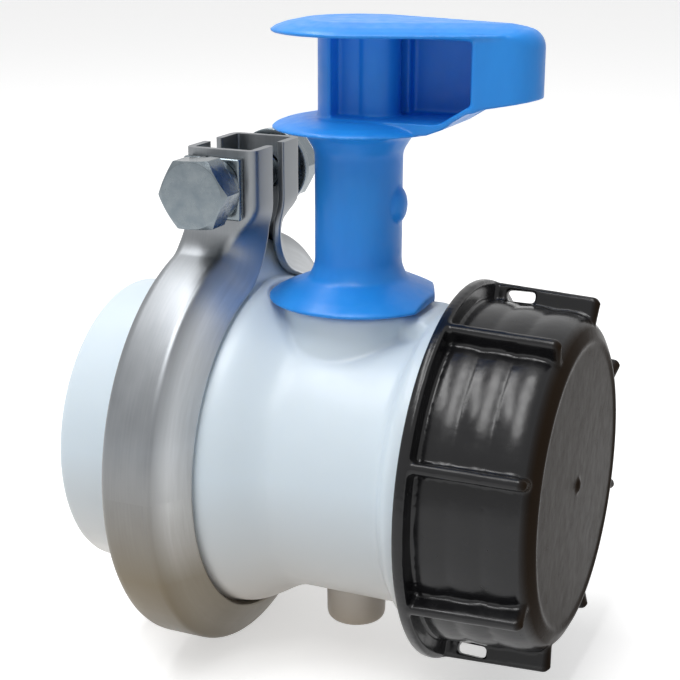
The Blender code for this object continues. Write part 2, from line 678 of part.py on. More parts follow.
# Bolt set
def hex_mesh(name, low, high, chamfer_top, chamfer_low):
    """Hexagonal prism along local Z, with turned chamfers on its ends."""
    bm = bmesh.new()
    corner_r = HEX_FLATS / 2 / math.cos(math.pi / 6)
    bmesh.ops.create_cone(bm, cap_ends=True, segments=6, radius1=corner_r, radius2=corner_r, depth=high - low)
    turn = Matrix.Rotation(HEX_TURN, 4, "Z")
    bmesh.ops.transform(bm, matrix=Matrix.Translation((0.0, 0.0, (low + high) / 2)) @ turn, verts=bm.verts)
    mesh = bpy.data.meshes.new(name)
    bm.to_mesh(mesh)
    bm.free()
    reach = corner_r + 0.2 * MM
    flat_r = HEX_FLATS / 2 - 0.2 * MM
    slope = (reach - flat_r) * math.tan(math.radians(30))
    points = [(high, 0.0), (high, flat_r if chamfer_top else reach)]
    if chamfer_top:
        points.append((high - slope, reach))
    if chamfer_low:
        points.append((low + slope, reach))
    points += [(low, flat_r if chamfer_low else reach), (low, 0.0)]
    return mesh, points


def make_clamp_bolt(material):
    face_y = -(EAR_FACE_Y + GAP + PLATE_THICK + GAP + LOCK_THICK + GAP)
    end_y = face_y + BOLT_LONG
    bolt_at = (STEM_X + BOLT_X, 0.0, BOLT_Z)
    points = [(end_y, 0.0), (end_y, BOLT_R - 0.8 * MM), (end_y - 0.8 * MM, BOLT_R)]
    points += [(face_y - MM, BOLT_R), (face_y - MM, 0.0)]
    bolt = turned_part("clamp_bolt", points, material, bolt_at, "Y", SMALL, closed=False)
    mesh, chamfers = hex_mesh("bolt_head", face_y - HEAD_HIGH, face_y, False, True)
    head = add_cutter("bolt_head", mesh, bolt_at, "Y")
    boolean(head, turned_cutter("bolt_head_chamfer", chamfers, bolt_at, "Y", MEDIUM), "INTERSECT")
    boolean(bolt, head, "UNION")
    return bolt


def make_clamp_nut(material):
    low = EAR_FACE_Y + GAP + PLATE_THICK + GAP + WASHER_THICK + GAP
    high = low + NUT_HIGH
    bolt_at = (STEM_X + BOLT_X, 0.0, BOLT_Z)
    mesh, chamfers = hex_mesh("clamp_nut", low, high, True, True)
    nut = add_part("clamp_nut", mesh, material, bolt_at, "Y")
    boolean(nut, turned_cutter("nut_chamfer", chamfers, bolt_at, "Y", MEDIUM), "INTERSECT")
    boolean(nut, rod_cutter("nut_hole", BOLT_R + GAP, low - MM, high + MM, bolt_at, "Y"))
    return nut


def make_square_plate(name, side, material):
    low = side * (EAR_FACE_Y + GAP)
    high = side * (EAR_FACE_Y + GAP + PLATE_THICK)
    half = PLATE_SIDE / 2
    bolt_at = (STEM_X + BOLT_X, 0.0, BOLT_Z)
    mesh = box_mesh(name, (-half, min(low, high), -half), (half, max(low, high), half))
    plate = add_part(name, mesh, material, bolt_at)
    bevel(plate, 0.4 * MM, 1)
    boolean(plate, rod_cutter(name + "_hole", BOLT_R + GAP, -PAST_PART, PAST_PART, bolt_at, "Y"))
    return plate


def make_washer(name, low, thick, outer_r, material):
    inner_r = BOLT_R + GAP
    chamfer = 0.2 * MM
    points = [(low + thick, outer_r - chamfer), (low + thick - chamfer, outer_r), (low + chamfer, outer_r)]
    points += [(low, outer_r - chamfer), (low, inner_r), (low + thick, inner_r)]
    bolt_at = (STEM_X + BOLT_X, 0.0, BOLT_Z)
    return turned_part(name, points, material, bolt_at, "Y", MEDIUM)


def make_lock_washer(material):
    low = -(EAR_FACE_Y + GAP + PLATE_THICK + GAP + LOCK_THICK)
    washer = make_washer("lock_washer", low, LOCK_THICK, LOCK_R, material)
    slit = box_mesh("lock_slit", (-0.5 * MM, -PAST_PART, 0.0), (0.5 * MM, 0.0, 2 * LOCK_R))
    slit.transform(Matrix.Rotation(math.radians(25), 4, "X"))
    boolean(washer, add_cutter("lock_slit", slit, (STEM_X + BOLT_X, 0.0, BOLT_Z)))
    return washer


# Outlet cap
def panel_radius(x):
    share = (x - CAP_FLANGE_X) / (PANEL_FRONT_X - CAP_FLANGE_X)
    wave = PANEL_WAVE * math.cos(2 * math.pi * PANEL_WAVES * share)
    return PANEL_REAR_R + (PANEL_FRONT_R - PANEL_REAR_R) * share - wave


def cap_profile():
    gate = [(CAP_FACE_X + 0.6 * MM, 0.0), (CAP_FACE_X + 0.6 * MM, 0.9 * MM), (CAP_FACE_X, 1.3 * MM)]
    rim = [(CAP_FACE_X, 27.2 * MM), (CAP_FACE_X + 0.35 * MM, 27.9 * MM), (CAP_FACE_X + 0.3 * MM, 28.5 * MM)]
    rim += [(CAP_FACE_X - 0.2 * MM, 29.6 * MM), (CAP_FACE_X - 0.8 * MM, 30.8 * MM)]
    rim += [(CAP_FACE_X - 1.6 * MM, 31.7 * MM)]
    panel = []
    count = 2 * PANEL_WAVES
    for i in range(count + 1):
        x = PANEL_FRONT_X + (CAP_FLANGE_X - PANEL_FRONT_X) * i / count
        panel.append((x, panel_radius(x)))
    flange = [(CAP_FLANGE_X, CAP_FLANGE_R - 0.4 * MM), (CAP_FLANGE_X - 0.4 * MM, CAP_FLANGE_R)]
    flange += [(CAP_REAR_X + 0.6 * MM, CAP_FLANGE_R), (CAP_REAR_X, CAP_FLANGE_R - 0.7 * MM)]
    inside = [(CAP_REAR_X, CAP_INNER_R + 0.6 * MM), (CAP_REAR_X + 0.6 * MM, CAP_INNER_R)]
    inside += [(CAP_SEAT_X, CAP_INNER_R), (CAP_SEAT_X, 0.0)]
    return gate + rim + panel + flange + inside


def rib_mesh():
    rear_x = CAP_FLANGE_X - 0.6 * MM
    root = CAP_INNER_R + 1.0 * MM
    outline = [(rear_x, root), (rear_x, RIB_REAR_R), (RIB_END_X - 0.9 * MM, RIB_FRONT_R)]
    outline += [(RIB_END_X, RIB_FRONT_R - 0.9 * MM), (RIB_END_X - 0.4 * MM, root - 0.6 * MM)]
    outline = list(reversed(outline))
    return upright(outline_mesh("rib", outline, -RIB_THICK / 2, RIB_THICK / 2))


def make_outlet_cap(material):
    axis_at = (STEM_X, 0.0, 0.0)
    cap = turned_part("outlet_cap", cap_profile(), material, axis_at, closed=False)
    rib = rib_mesh()
    for i in range(RIB_COUNT):
        turn_angle = math.pi / 2 - (RIB_PHASE + i * 2 * math.pi / RIB_COUNT)
        copy = add_cutter("rib_%d" % i, rib, axis_at)
        copy.rotation_euler = (turn_angle, 0.0, 0.0)
        bevel(copy, 0.5 * MM, 1, 50.0)
        boolean(cap, copy, "UNION")
    low = PANEL_REAR_R + 0.2 * MM
    for i in (2, 6):
        turn_angle = math.pi / 2 - (RIB_PHASE + i * 2 * math.pi / RIB_COUNT)
        slot = box_mesh("slot", (27.0 * MM, -5 * MM, low), (32.8 * MM, 5 * MM, low + 2.2 * MM))
        cutter = add_cutter("slot_%d" % i, slot, axis_at)
        cutter.rotation_euler = (turn_angle, 0.0, 0.0)
        boolean(cap, cutter)
    return cap


def make_cap_gasket(material):
    front = CAP_GASKET_X + CAP_GASKET_THICK
    outer_r = CAP_INNER_R - 0.5 * MM
    points = [(front, outer_r), (CAP_GASKET_X, outer_r), (CAP_GASKET_X, BORE_R), (front, BORE_R)]
    return turned_part("cap_gasket", points, material, (STEM_X, 0.0, 0.0))


def make_axis(name, location, children):
    """Empty on a joint axis that carries the pieces turning about it."""
    empty = bpy.data.objects.new(name, None)
    empty.location = location
    PARTS.objects.link(empty)
    bpy.context.view_layer.update()
    for child in children:
        child.parent = empty
        child.matrix_parent_inverse = empty.matrix_world.inverted()


def build():
    white = make_material("white_polyethylene", (0.72, 0.78, 0.80), 0.38)
    blue = make_material("blue_polypropylene", (0.02, 0.17, 0.68), 0.34)
    black = make_material("black_polypropylene", (0.012, 0.012, 0.014), 0.22)
    rubber = make_material("black_rubber", (0.02, 0.02, 0.02), 0.7)
    steel = make_material("stainless_steel", (0.46, 0.45, 0.43), 0.3, 1.0)
    zinc = make_material("zinc_plated_steel", (0.62, 0.65, 0.68), 0.25, 1.0)
    make_tank_spigot(white)
    make_flange_gasket(rubber)
    make_valve_body(white)
    make_seat_liner(rubber)
    turning = [make_disc(white), make_stem(steel), make_handle(blue), make_handle_pin(steel)]
    turning.append(make_disc_screw("upper", SCREW_Z, steel))
    turning.append(make_disc_screw("lower", -SCREW_Z, steel))
    turning.append(make_oring("stem_oring_lower", ORING_Z[0], rubber))
    turning.append(make_oring("stem_oring_upper", ORING_Z[1], rubber))
    make_clamp_band(steel)
    make_square_plate("bolt_plate", -1, zinc)
    make_square_plate("nut_plate", 1, zinc)
    make_lock_washer(zinc)
    fixing = [make_clamp_bolt(zinc), make_clamp_nut(zinc)]
    washer_low = EAR_FACE_Y + GAP + PLATE_THICK + GAP
    fixing.append(make_washer("nut_washer", washer_low, WASHER_THICK, WASHER_R, zinc))
    closing = [make_outlet_cap(black), make_cap_gasket(rubber)]
    for obj in [o for o in PARTS.objects if o.type == "MESH"]:
        settle(obj)
    make_axis("stem_axis", (STEM_X, 0.0, 0.0), turning)
    make_axis("cap_axis", (STEM_X + CAP_REAR_X, 0.0, 0.0), closing)
    make_axis("bolt_axis", (STEM_X + BOLT_X, 0.0, BOLT_Z), fixing)


clear_scene()
PARTS = new_collection("tank_valve")
CUTTERS = new_collection("cutters")
build()
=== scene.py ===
# Looks of the clamp-on butterfly valve: fine surfaces, materials, light and camera.
# Places and sizes are in millimetres. Stations called X are measured from the stem axis.
import json
import math

import bmesh
import bpy
from mathutils import Matrix, Vector


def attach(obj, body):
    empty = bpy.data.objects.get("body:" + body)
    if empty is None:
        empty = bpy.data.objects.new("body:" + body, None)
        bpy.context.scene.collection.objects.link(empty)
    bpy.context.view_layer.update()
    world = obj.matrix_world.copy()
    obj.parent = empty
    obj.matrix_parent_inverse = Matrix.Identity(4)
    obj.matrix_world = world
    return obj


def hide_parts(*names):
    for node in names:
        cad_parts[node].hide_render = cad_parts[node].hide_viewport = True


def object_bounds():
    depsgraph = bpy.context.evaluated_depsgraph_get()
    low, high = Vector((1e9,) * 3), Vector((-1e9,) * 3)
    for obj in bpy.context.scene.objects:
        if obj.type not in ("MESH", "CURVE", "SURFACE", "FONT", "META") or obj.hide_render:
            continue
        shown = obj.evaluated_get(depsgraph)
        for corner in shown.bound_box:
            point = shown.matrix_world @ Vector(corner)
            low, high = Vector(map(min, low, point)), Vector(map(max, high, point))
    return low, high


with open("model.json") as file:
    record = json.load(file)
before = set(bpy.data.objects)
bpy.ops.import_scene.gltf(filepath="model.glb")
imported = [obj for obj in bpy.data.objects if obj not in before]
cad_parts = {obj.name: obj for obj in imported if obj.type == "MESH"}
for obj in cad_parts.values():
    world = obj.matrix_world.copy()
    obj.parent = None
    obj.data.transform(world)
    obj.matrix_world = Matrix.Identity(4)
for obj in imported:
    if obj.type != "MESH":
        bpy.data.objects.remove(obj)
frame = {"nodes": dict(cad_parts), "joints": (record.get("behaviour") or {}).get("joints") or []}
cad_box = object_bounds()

MM = 0.001
# Steps round a large turned piece and round a small one
FINE = 160
PLAIN = 96

# Driving sizes. They are the solids' own, apart from the ring behind the cap, the handle's
# middle collar, pin pad, tip and pocket and the cap's ridges, which follow the photograph.
STEM_X = frame["joints"][0]["pos_m"][0] / MM
# Flow path and disc
BORE_R = 24.8
LINER_BORE_R = 24.5
LINER_R = 26.0
LINER_HALF = 7.9
DISC_R = 24.1
HUB_R = 6.6
HUB_END_Z = 23.9
SCREW_Z = 13.0
SCREW_R = 1.6
SCREW_HEAD_R = 3.2
SCREW_SEAT_Y = -5.5
# Spigot and body
SPIGOT_R = 30.15
SPIGOT_EDGE_X = -32.4
SPIGOT_FACE_X = -27.6
FLANGE_R = 41.1
BODY_FACE_X = -25.6
BARREL_R = 28.4
SHOULDER_R = 34.0
COLLAR_R = 31.5
NECK_R = 28.2
NECK_END_X = 41.0
BOSS_R = 14.5
BOSS_TOP_Z = 31.9
BOSS_NECK_R = 9.4
BOSS_NECK_TOP_Z = 35.2
BRIDGE = ((8.0, -8.0, 22.0), (18.0, 8.0, 31.6))
LANDING_R = (10.4, 18.1)
LANDING_Z = 32.1
NUB_R = 6.1
NUB_BOTTOM_Z = -36.9
JOURNAL_BORE_R = 7.0
PIVOT_BORE_R = 4.3
# Handle
COLUMN_R = 8.5
SKIRT_R = 17.7
SKIRT_Z = 32.5
SKIRT_CUT = ((15.4, -30.0), (40.0, -30.0), (40.0, 30.0), (4.0, 30.0), (15.4, 2.0))
PLATE_R = 16.8
PLATE_Z = (66.0, 68.2)
TOP_Z = (84.0, 86.4)
RIM_DROP = ((6.0, 0.0), (2.6, 0.7), (0.9, 1.3), (0.0, 1.9))
TIP_X = 29.4
TIP_R = 6.5
GRIP_X = 24.0
GRIP_HALF_Y = 8.3
HEAD_R = 7.9
POCKET_X = (-2.8, 24.6)
POCKET_Y = (-3.4, 6.4)
POST_X = 3.9
POST_R = 4.2
SOCKET_HALF = 4.8
SOCKET_TOP_Z = 57.8
PIN_Z = 50.0
PIN_R = 1.5
# Clamp band
BAND_R = 43.0
BAND_THICK = 1.5
EAR_FACE_Y = 10.5
EAR_TOP_Z = 61.6
EAR_BEND_R = 5.0
BAND_SECTION = ((-18.6, 7.9), (-23.5, 0.0), (-34.4, 0.0), (-34.9, 6.6))
EAR_SECTION = ((-17.2, 8.2), (-17.2, 0.0), (-32.4, 0.0), (-32.4, 8.2))
# Bolt set
BOLT_X = -25.4
BOLT_Z = 54.3
BOLT_R = 3.95
BOLT_PITCH = 1.25
BOLT_HOLE_R = 4.3
RING_HOLE_R = 4.25
HEAD_FACE_Y = -15.5
HEAD_HIGH = 5.3
BOLT_END_Y = HEAD_FACE_Y + 40.0
NUT_Y = (15.0, 21.5)
PLATE_HALF = 6.0
PLATE_THICK = 2.0
WASHER_Y = (13.1, 14.7)
WASHER_R = 8.0
LOCK_Y = (-15.2, -13.1)
LOCK_R = 6.4
HEX_FLATS = 13.0
HEX_TURN = math.radians(27.0)
# Outlet cap
CAP_REAR_X = 22.3
CAP_FLANGE_X = 24.6
CAP_FLANGE_R = 37.5
CAP_FACE_X = 46.0
CAP_INNER_R = 30.4
CAP_SEAT_X = 43.2
CAP_PITCH = 6.0
THREAD_DEEP = 1.4
THREAD_RUN_OUT = 1.5
PANEL_REAR_R = 33.6
PANEL_FRONT_R = 32.4
PANEL_FRONT_X = 43.6
PANEL_WAVE = 0.36
PANEL_WAVES = 3
RIB_COUNT = 8
RIB_THICK = 2.2
RIB_REAR_R = 37.3
RIB_FRONT_R = 36.3
RIB_END_X = 45.6
RIB_PHASE = math.radians(20.0)
SLOTTED_RIBS = (2, 6)
SLOT_X = (27.0, 32.8)
SLOT_HALF_Y = 5.0
SLOT_HIGH = 2.2

STEM_AT = Vector((STEM_X, 0.0, 0.0))
PIN_AT = STEM_AT + Vector((0.0, 0.0, PIN_Z))
BOLT_AT = Vector((STEM_X + BOLT_X, 0.0, BOLT_Z))
TURNS = {"X": Matrix.Rotation(math.pi / 2, 4, "Y"), "Y": Matrix.Rotation(-math.pi / 2, 4, "X"),
         "Z": Matrix.Identity(4)}


# Mesh helpers
def rounded(corners, closed=False, count=5):
    """Outline through corners (along, radius, fillet), each rounded by its own fillet."""
    outline = []
    last = len(corners) - 1
    for i, (along, radius, fillet) in enumerate(corners):
        here = Vector((along, radius))
        if fillet == 0 or (not closed and i in (0, last)):
            outline.append(here)
            continue
        back = Vector(corners[i - 1][:2]) - here
        ahead = Vector(corners[(i + 1) % len(corners)][:2]) - here
        reach = fillet / math.tan(back.angle(ahead) / 2)
        reach = min(reach, 0.49 * back.length, 0.49 * ahead.length)
        start = here + back.normalized() * reach
        end = here + ahead.normalized() * reach
        for k in range(count + 1):
            t = k / count
            outline.append(start.lerp(here, t).lerp(here.lerp(end, t), t))
    return outline


def ease(t):
    """0 up to t = 0, 1 from t = 1, with a smooth S between."""
    t = max(0.0, min(1.0, t))
    return t * t * (3 - 2 * t)


def curve_between(start, end, count=10):
    """Smooth S between two (along, radius) points, as corners with no fillet."""
    corners = []
    for k in range(count + 1):
        t = k / count
        corners.append((start[0] + (end[0] - start[0]) * t, start[1] + (end[1] - start[1]) * ease(t), 0))
    return corners


def new_piece(name, bm):
    bmesh.ops.recalc_face_normals(bm, faces=bm.faces)
    mesh = bpy.data.meshes.new(name)
    bm.to_mesh(mesh)
    bm.free()
    piece = bpy.data.objects.new(name, mesh)
    bpy.context.scene.collection.objects.link(piece)
    return piece


def placed_piece(name, bm, at):
    """Piece from a mesh in millimetres, moved to its place in the frame."""
    bmesh.ops.translate(bm, vec=at, verts=bm.verts)
    bmesh.ops.scale(bm, vec=(MM, MM, MM), verts=bm.verts)
    return new_piece(name, bm)


def add_bands(bm, rings, closed):
    """Faces between rings of vertices; a ring of one vertex is a pole."""
    pairs = list(zip(rings, rings[1:]))
    if closed:
        pairs.append((rings[-1], rings[0]))
    size = max(len(ring) for ring in rings)
    for first, second in pairs:
        for k in range(size):
            corners = []
            for ring, j in ((first, k), (first, k + 1), (second, k + 1), (second, k)):
                corners.append(ring[j % size % len(ring)])
            bm.faces.new(list(dict.fromkeys(corners)))


def lathe(name, outline, at, axis="X", steps=FINE, closed=False, swell=None):
    """Solid of revolution; swell(along, turn) adds to the radius."""
    bm = bmesh.new()
    rings = []
    for along, radius in outline:
        if radius < 1e-6:
            rings.append([bm.verts.new((0.0, 0.0, along))])
            continue
        ring = []
        for k in range(steps):
            turn = 2 * math.pi * k / steps
            r = radius + (swell(along, turn) if swell else 0.0)
            ring.append(bm.verts.new((r * math.cos(turn), r * math.sin(turn), along)))
        rings.append(ring)
    add_bands(bm, rings, closed)
    bmesh.ops.transform(bm, matrix=TURNS[axis], verts=bm.verts)
    return placed_piece(name, bm, at)


def rod(name, radius, low, high, at, axis="Z"):
    return lathe(name, [(high, 0.0), (high, radius), (low, radius), (low, 0.0)], at, axis, PLAIN)


def block(name, low, high, at, soften=0.0):
    """Box between two corners, its edges rounded by soften."""
    bm = bmesh.new()
    bmesh.ops.create_cube(bm, size=1.0)
    low = Vector(low)
    high = Vector(high)
    bmesh.ops.scale(bm, vec=high - low, verts=bm.verts)
    bmesh.ops.translate(bm, vec=(low + high) / 2 + Vector(at), verts=bm.verts)
    if soften:
        bmesh.ops.bevel(bm, geom=bm.edges, offset=soften, segments=3, affect="EDGES", profile=0.5)
    bmesh.ops.scale(bm, vec=(MM, MM, MM), verts=bm.verts)
    return new_piece(name, bm)


def slab(name, outline, low, high, at, soften=0.0, stand=False):
    """Flat outline in XY given a height, its rims rounded by soften; stand turns its Y up."""
    bm = bmesh.new()
    rings = []
    for z in (low, high):
        rings.append([bm.verts.new((x, y, z)) for x, y in outline])
    add_bands(bm, rings, False)
    rims = [bm.faces.new(rings[0]), bm.faces.new(rings[1])]
    if soften:
        edges = list({edge for face in rims for edge in face.edges})
        bmesh.ops.bevel(bm, geom=edges, offset=soften, segments=4, affect="EDGES", profile=0.5)
    if stand:
        bmesh.ops.transform(bm, matrix=Matrix.Rotation(math.pi / 2, 4, "X"), verts=bm.verts)
    return placed_piece(name, bm, at)


def loft(name, rings, at):
    """Closed solid through flat rings of points, with a cap on each end ring."""
    bm = bmesh.new()
    made = [[bm.verts.new(point) for point in ring] for ring in rings]
    add_bands(bm, made, False)
    bm.faces.new(made[0])
    bm.faces.new(made[-1])
    return placed_piece(name, bm, at)


def arc(centre_x, centre_y, radius, start, end, count):
    """Points round a centre, from one angle in degrees to another."""
    points = []
    for i in range(count + 1):
        angle = math.radians(start + (end - start) * i / count)
        points.append((centre_x + radius * math.cos(angle), centre_y + radius * math.sin(angle)))
    return points


def combine(piece, other, operation="DIFFERENCE"):
    """Boolean with another mesh, which is used up."""
    mod = piece.modifiers.new("Cut", "BOOLEAN")
    mod.operation = operation
    mod.solver = "MANIFOLD"
    mod.object = other
    apply_modifiers(piece)
    bpy.data.objects.remove(other, do_unlink=True)


def apply_modifiers(piece):
    bpy.context.view_layer.update()
    graph = bpy.context.evaluated_depsgraph_get()
    mesh = bpy.data.meshes.new_from_object(piece.evaluated_get(graph))
    piece.modifiers.clear()
    piece.data = mesh


def mould(piece, voxel, smoothing, keep):
    """Round every edge as a moulding has it, by a fine remesh, then thin the faces."""
    mod = piece.modifiers.new("Remesh", "REMESH")
    mod.mode = "VOXEL"
    mod.voxel_size = voxel * MM
    mod = piece.modifiers.new("Smooth", "SMOOTH")
    mod.factor = 0.5
    mod.iterations = smoothing
    mod = piece.modifiers.new("Thin", "DECIMATE")
    mod.ratio = keep
    apply_modifiers(piece)
    piece.data.shade_smooth()


def smooth_shade(piece, angle=30.0):
    piece.data.shade_smooth()
    piece.data.set_sharp_from_angle(angle=math.radians(angle))


def dress(piece, body, slot, material, *nodes):
    """Give a finished piece its body and material; it stands for the CAD nodes. The slot argument is not
    used.
    """
    piece.data.materials.clear()
    piece.data.materials.append(material)
    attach(piece, body)
    if nodes:
        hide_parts(*nodes)


# Material helpers
def new_material(name, color, roughness, metallic=0.0):
    mat = bpy.data.materials.new(name)
    mat.use_nodes = True
    shader = mat.node_tree.nodes["Principled BSDF"]
    shader.inputs["Base Color"].default_value = (*color, 1.0)
    shader.inputs["Roughness"].default_value = roughness
    shader.inputs["Metallic"].default_value = metallic
    return mat, mat.node_tree, shader


def add_node(tree, kind, settings=None, **values):
    item = tree.nodes.new(kind)
    for key, value in (settings or {}).items():
        setattr(item, key, value)
    for key, value in values.items():
        item.inputs[key].default_value = value
    return item


def object_space(tree):
    return add_node(tree, "ShaderNodeTexCoord").outputs["Object"]


def split_axes(tree, place):
    """The outputs X, Y and Z of a place."""
    item = add_node(tree, "ShaderNodeSeparateXYZ")
    tree.links.new(place, item.inputs[0])
    return item.outputs


def calculate(tree, operation, first, second):
    """One Math node on two values."""
    item = add_node(tree, "ShaderNodeMath", {"operation": operation})
    tree.links.new(first, item.inputs[0])
    tree.links.new(second, item.inputs[1])
    return item.outputs[0]


def stretched(tree, place, x, y, z):
    item = add_node(tree, "ShaderNodeVectorMath", {"operation": "MULTIPLY"})
    tree.links.new(place, item.inputs[0])
    item.inputs[1].default_value = (x, y, z)
    return item.outputs["Vector"]


def noise(tree, place, size, detail=3.0, rough=0.5):
    """Noise whose blobs are about size millimetres across."""
    item = add_node(tree, "ShaderNodeTexNoise", Scale=1.0 / (size * MM), Detail=detail, Roughness=rough)
    tree.links.new(place, item.inputs["Vector"])
    return item.outputs["Fac"]


def remap(tree, value, from_low, from_high, to_low, to_high):
    item = add_node(tree, "ShaderNodeMapRange")
    item.inputs["From Min"].default_value = from_low
    item.inputs["From Max"].default_value = from_high
    item.inputs["To Min"].default_value = to_low
    item.inputs["To Max"].default_value = to_high
    tree.links.new(value, item.inputs["Value"])
    return item.outputs["Result"]


def blend_color(tree, share, first, second):
    """The first color where share is 0 and the second where it is 1; each a value or an output."""
    item = add_node(tree, "ShaderNodeMix", {"data_type": "RGBA"})
    # The node has sockets for every kind of data; these are the ones for colors
    share_socket, first_socket, second_socket, result_socket = 0, 6, 7, 2
    for place, color in ((first_socket, first), (second_socket, second)):
        if hasattr(color, "links"):
            tree.links.new(color, item.inputs[place])
        else:
            item.inputs[place].default_value = (*color, 1.0)
    tree.links.new(share, item.inputs[share_socket])
    return item.outputs[result_socket]


def bump(tree, height, depth, after=None):
    """Bump of a height that runs from 0 to 1, depth millimetres deep."""
    item = add_node(tree, "ShaderNodeBump", Strength=1.0, Distance=depth * MM)
    tree.links.new(height, item.inputs["Height"])
    if after:
        tree.links.new(after, item.inputs["Normal"])
    return item.outputs["Normal"]


def round_the_axis(tree, place):
    """Coordinates (along X, arc length round the flow axis, 0)."""
    axes = split_axes(tree, place)
    length = add_node(tree, "ShaderNodeMath", {"operation": "MULTIPLY"})
    length.inputs[1].default_value = BAND_R * MM
    tree.links.new(calculate(tree, "ARCTAN2", axes["Z"], axes["Y"]), length.inputs[0])
    join = add_node(tree, "ShaderNodeCombineXYZ")
    tree.links.new(axes["X"], join.inputs["X"])
    tree.links.new(length.outputs[0], join.inputs["Y"])
    return join.outputs[0]


def white_plastic():
    """Natural polyethylene: milky and a little translucent, with a painted warm floor reflection low down.
    """
    blue_white = (0.62, 0.715, 0.79)
    pale_white = (0.68, 0.765, 0.825)
    painted_reflection_white = (0.53, 0.46, 0.38)
    mat, tree, shader = new_material("natural_polyethylene", (0.76, 0.80, 0.82), 0.36)
    place = object_space(tree)
    cloud = noise(tree, place, 26.0, 2.0)
    milky = blend_color(tree, cloud, blue_white, pale_white)
    # Painted reflection: a warm tint that grows towards the bottom stands in for the warm floor reflected
    # low down.
    low = remap(tree, split_axes(tree, place)["Z"], 3.0 * MM, -36.0 * MM, 0.0, 1.0)
    tree.links.new(blend_color(tree, low, milky, painted_reflection_white), shader.inputs["Base Color"])
    sheen = noise(tree, place, 5.0, 4.0)
    tree.links.new(remap(tree, sheen, 0.3, 0.7, 0.30, 0.44), shader.inputs["Roughness"])
    coarse = bump(tree, noise(tree, place, 7.0, 2.0), 0.06)
    tree.links.new(bump(tree, noise(tree, place, 0.5, 3.0), 0.004, coarse), shader.inputs["Normal"])
    shader.inputs["Subsurface Weight"].default_value = 0.35
    shader.inputs["Subsurface Radius"].default_value = (1.0, 0.95, 0.85)
    shader.inputs["Subsurface Scale"].default_value = 3.0 * MM
    return mat


def blue_plastic():
    """Semi-gloss blue moulding with faint flow marks and a fine grain."""
    deep_blue = (0.010, 0.20, 0.65)
    bright_blue = (0.022, 0.30, 0.84)
    mat, tree, shader = new_material("blue_moulding", (0.015, 0.16, 0.70), 0.36)
    place = object_space(tree)
    flow = noise(tree, stretched(tree, place, 1.0, 1.0, 0.35), 9.0, 4.0, 0.6)
    tree.links.new(blend_color(tree, flow, deep_blue, bright_blue), shader.inputs["Base Color"])
    sheen = noise(tree, place, 2.2, 5.0)
    tree.links.new(remap(tree, sheen, 0.3, 0.7, 0.30, 0.46), shader.inputs["Roughness"])
    shader.inputs["Specular IOR Level"].default_value = 0.38
    coarse = bump(tree, noise(tree, place, 4.5, 2.0), 0.05)
    tree.links.new(bump(tree, noise(tree, place, 0.35, 2.0), 0.006, coarse), shader.inputs["Normal"])
    shader.inputs["Subsurface Weight"].default_value = 0.08
    shader.inputs["Subsurface Radius"].default_value = (0.2, 0.5, 1.0)
    shader.inputs["Subsurface Scale"].default_value = 1.2 * MM
    return mat


def black_plastic():
    """Glossy black moulding with an uneven sheen, fine scuffs and dust, duller on its face, which carries a
    painted brown reflection.
    """
    side_black = (0.006, 0.006, 0.007)
    painted_reflection_brown = (0.020, 0.013, 0.008)
    dust_grey = (0.030, 0.027, 0.024)
    mat, tree, shader = new_material("black_moulding", (0.012, 0.012, 0.014), 0.30)
    place = object_space(tree)
    edge = (STEM_X + CAP_FACE_X) * MM
    face = remap(tree, split_axes(tree, place)["X"], edge - 2.0 * MM, edge - 0.6 * MM, 0.0, 1.0)
    dust = remap(tree, noise(tree, place, 0.8, 4.0, 0.7), 0.62, 0.78, 0.0, 0.35)
    # Painted reflection: the face is tinted brown where warm surroundings would be reflected in it.
    dark = blend_color(tree, face, side_black, painted_reflection_brown)
    tree.links.new(blend_color(tree, dust, dark, dust_grey), shader.inputs["Base Color"])
    scuff = noise(tree, place, 3.0, 5.0, 0.65)
    tree.links.new(remap(tree, scuff, 0.35, 0.75, 0.17, 0.30), shader.inputs["Roughness"])
    tree.links.new(remap(tree, face, 0.0, 1.0, 0.80, 0.10), shader.inputs["Specular IOR Level"])
    tree.links.new(remap(tree, face, 0.0, 1.0, 1.30, 1.13), shader.inputs["IOR"])
    coarse = bump(tree, noise(tree, place, 5.0, 2.0), 0.07)
    tree.links.new(bump(tree, noise(tree, place, 0.7, 3.0), 0.005, coarse), shader.inputs["Normal"])
    return mat


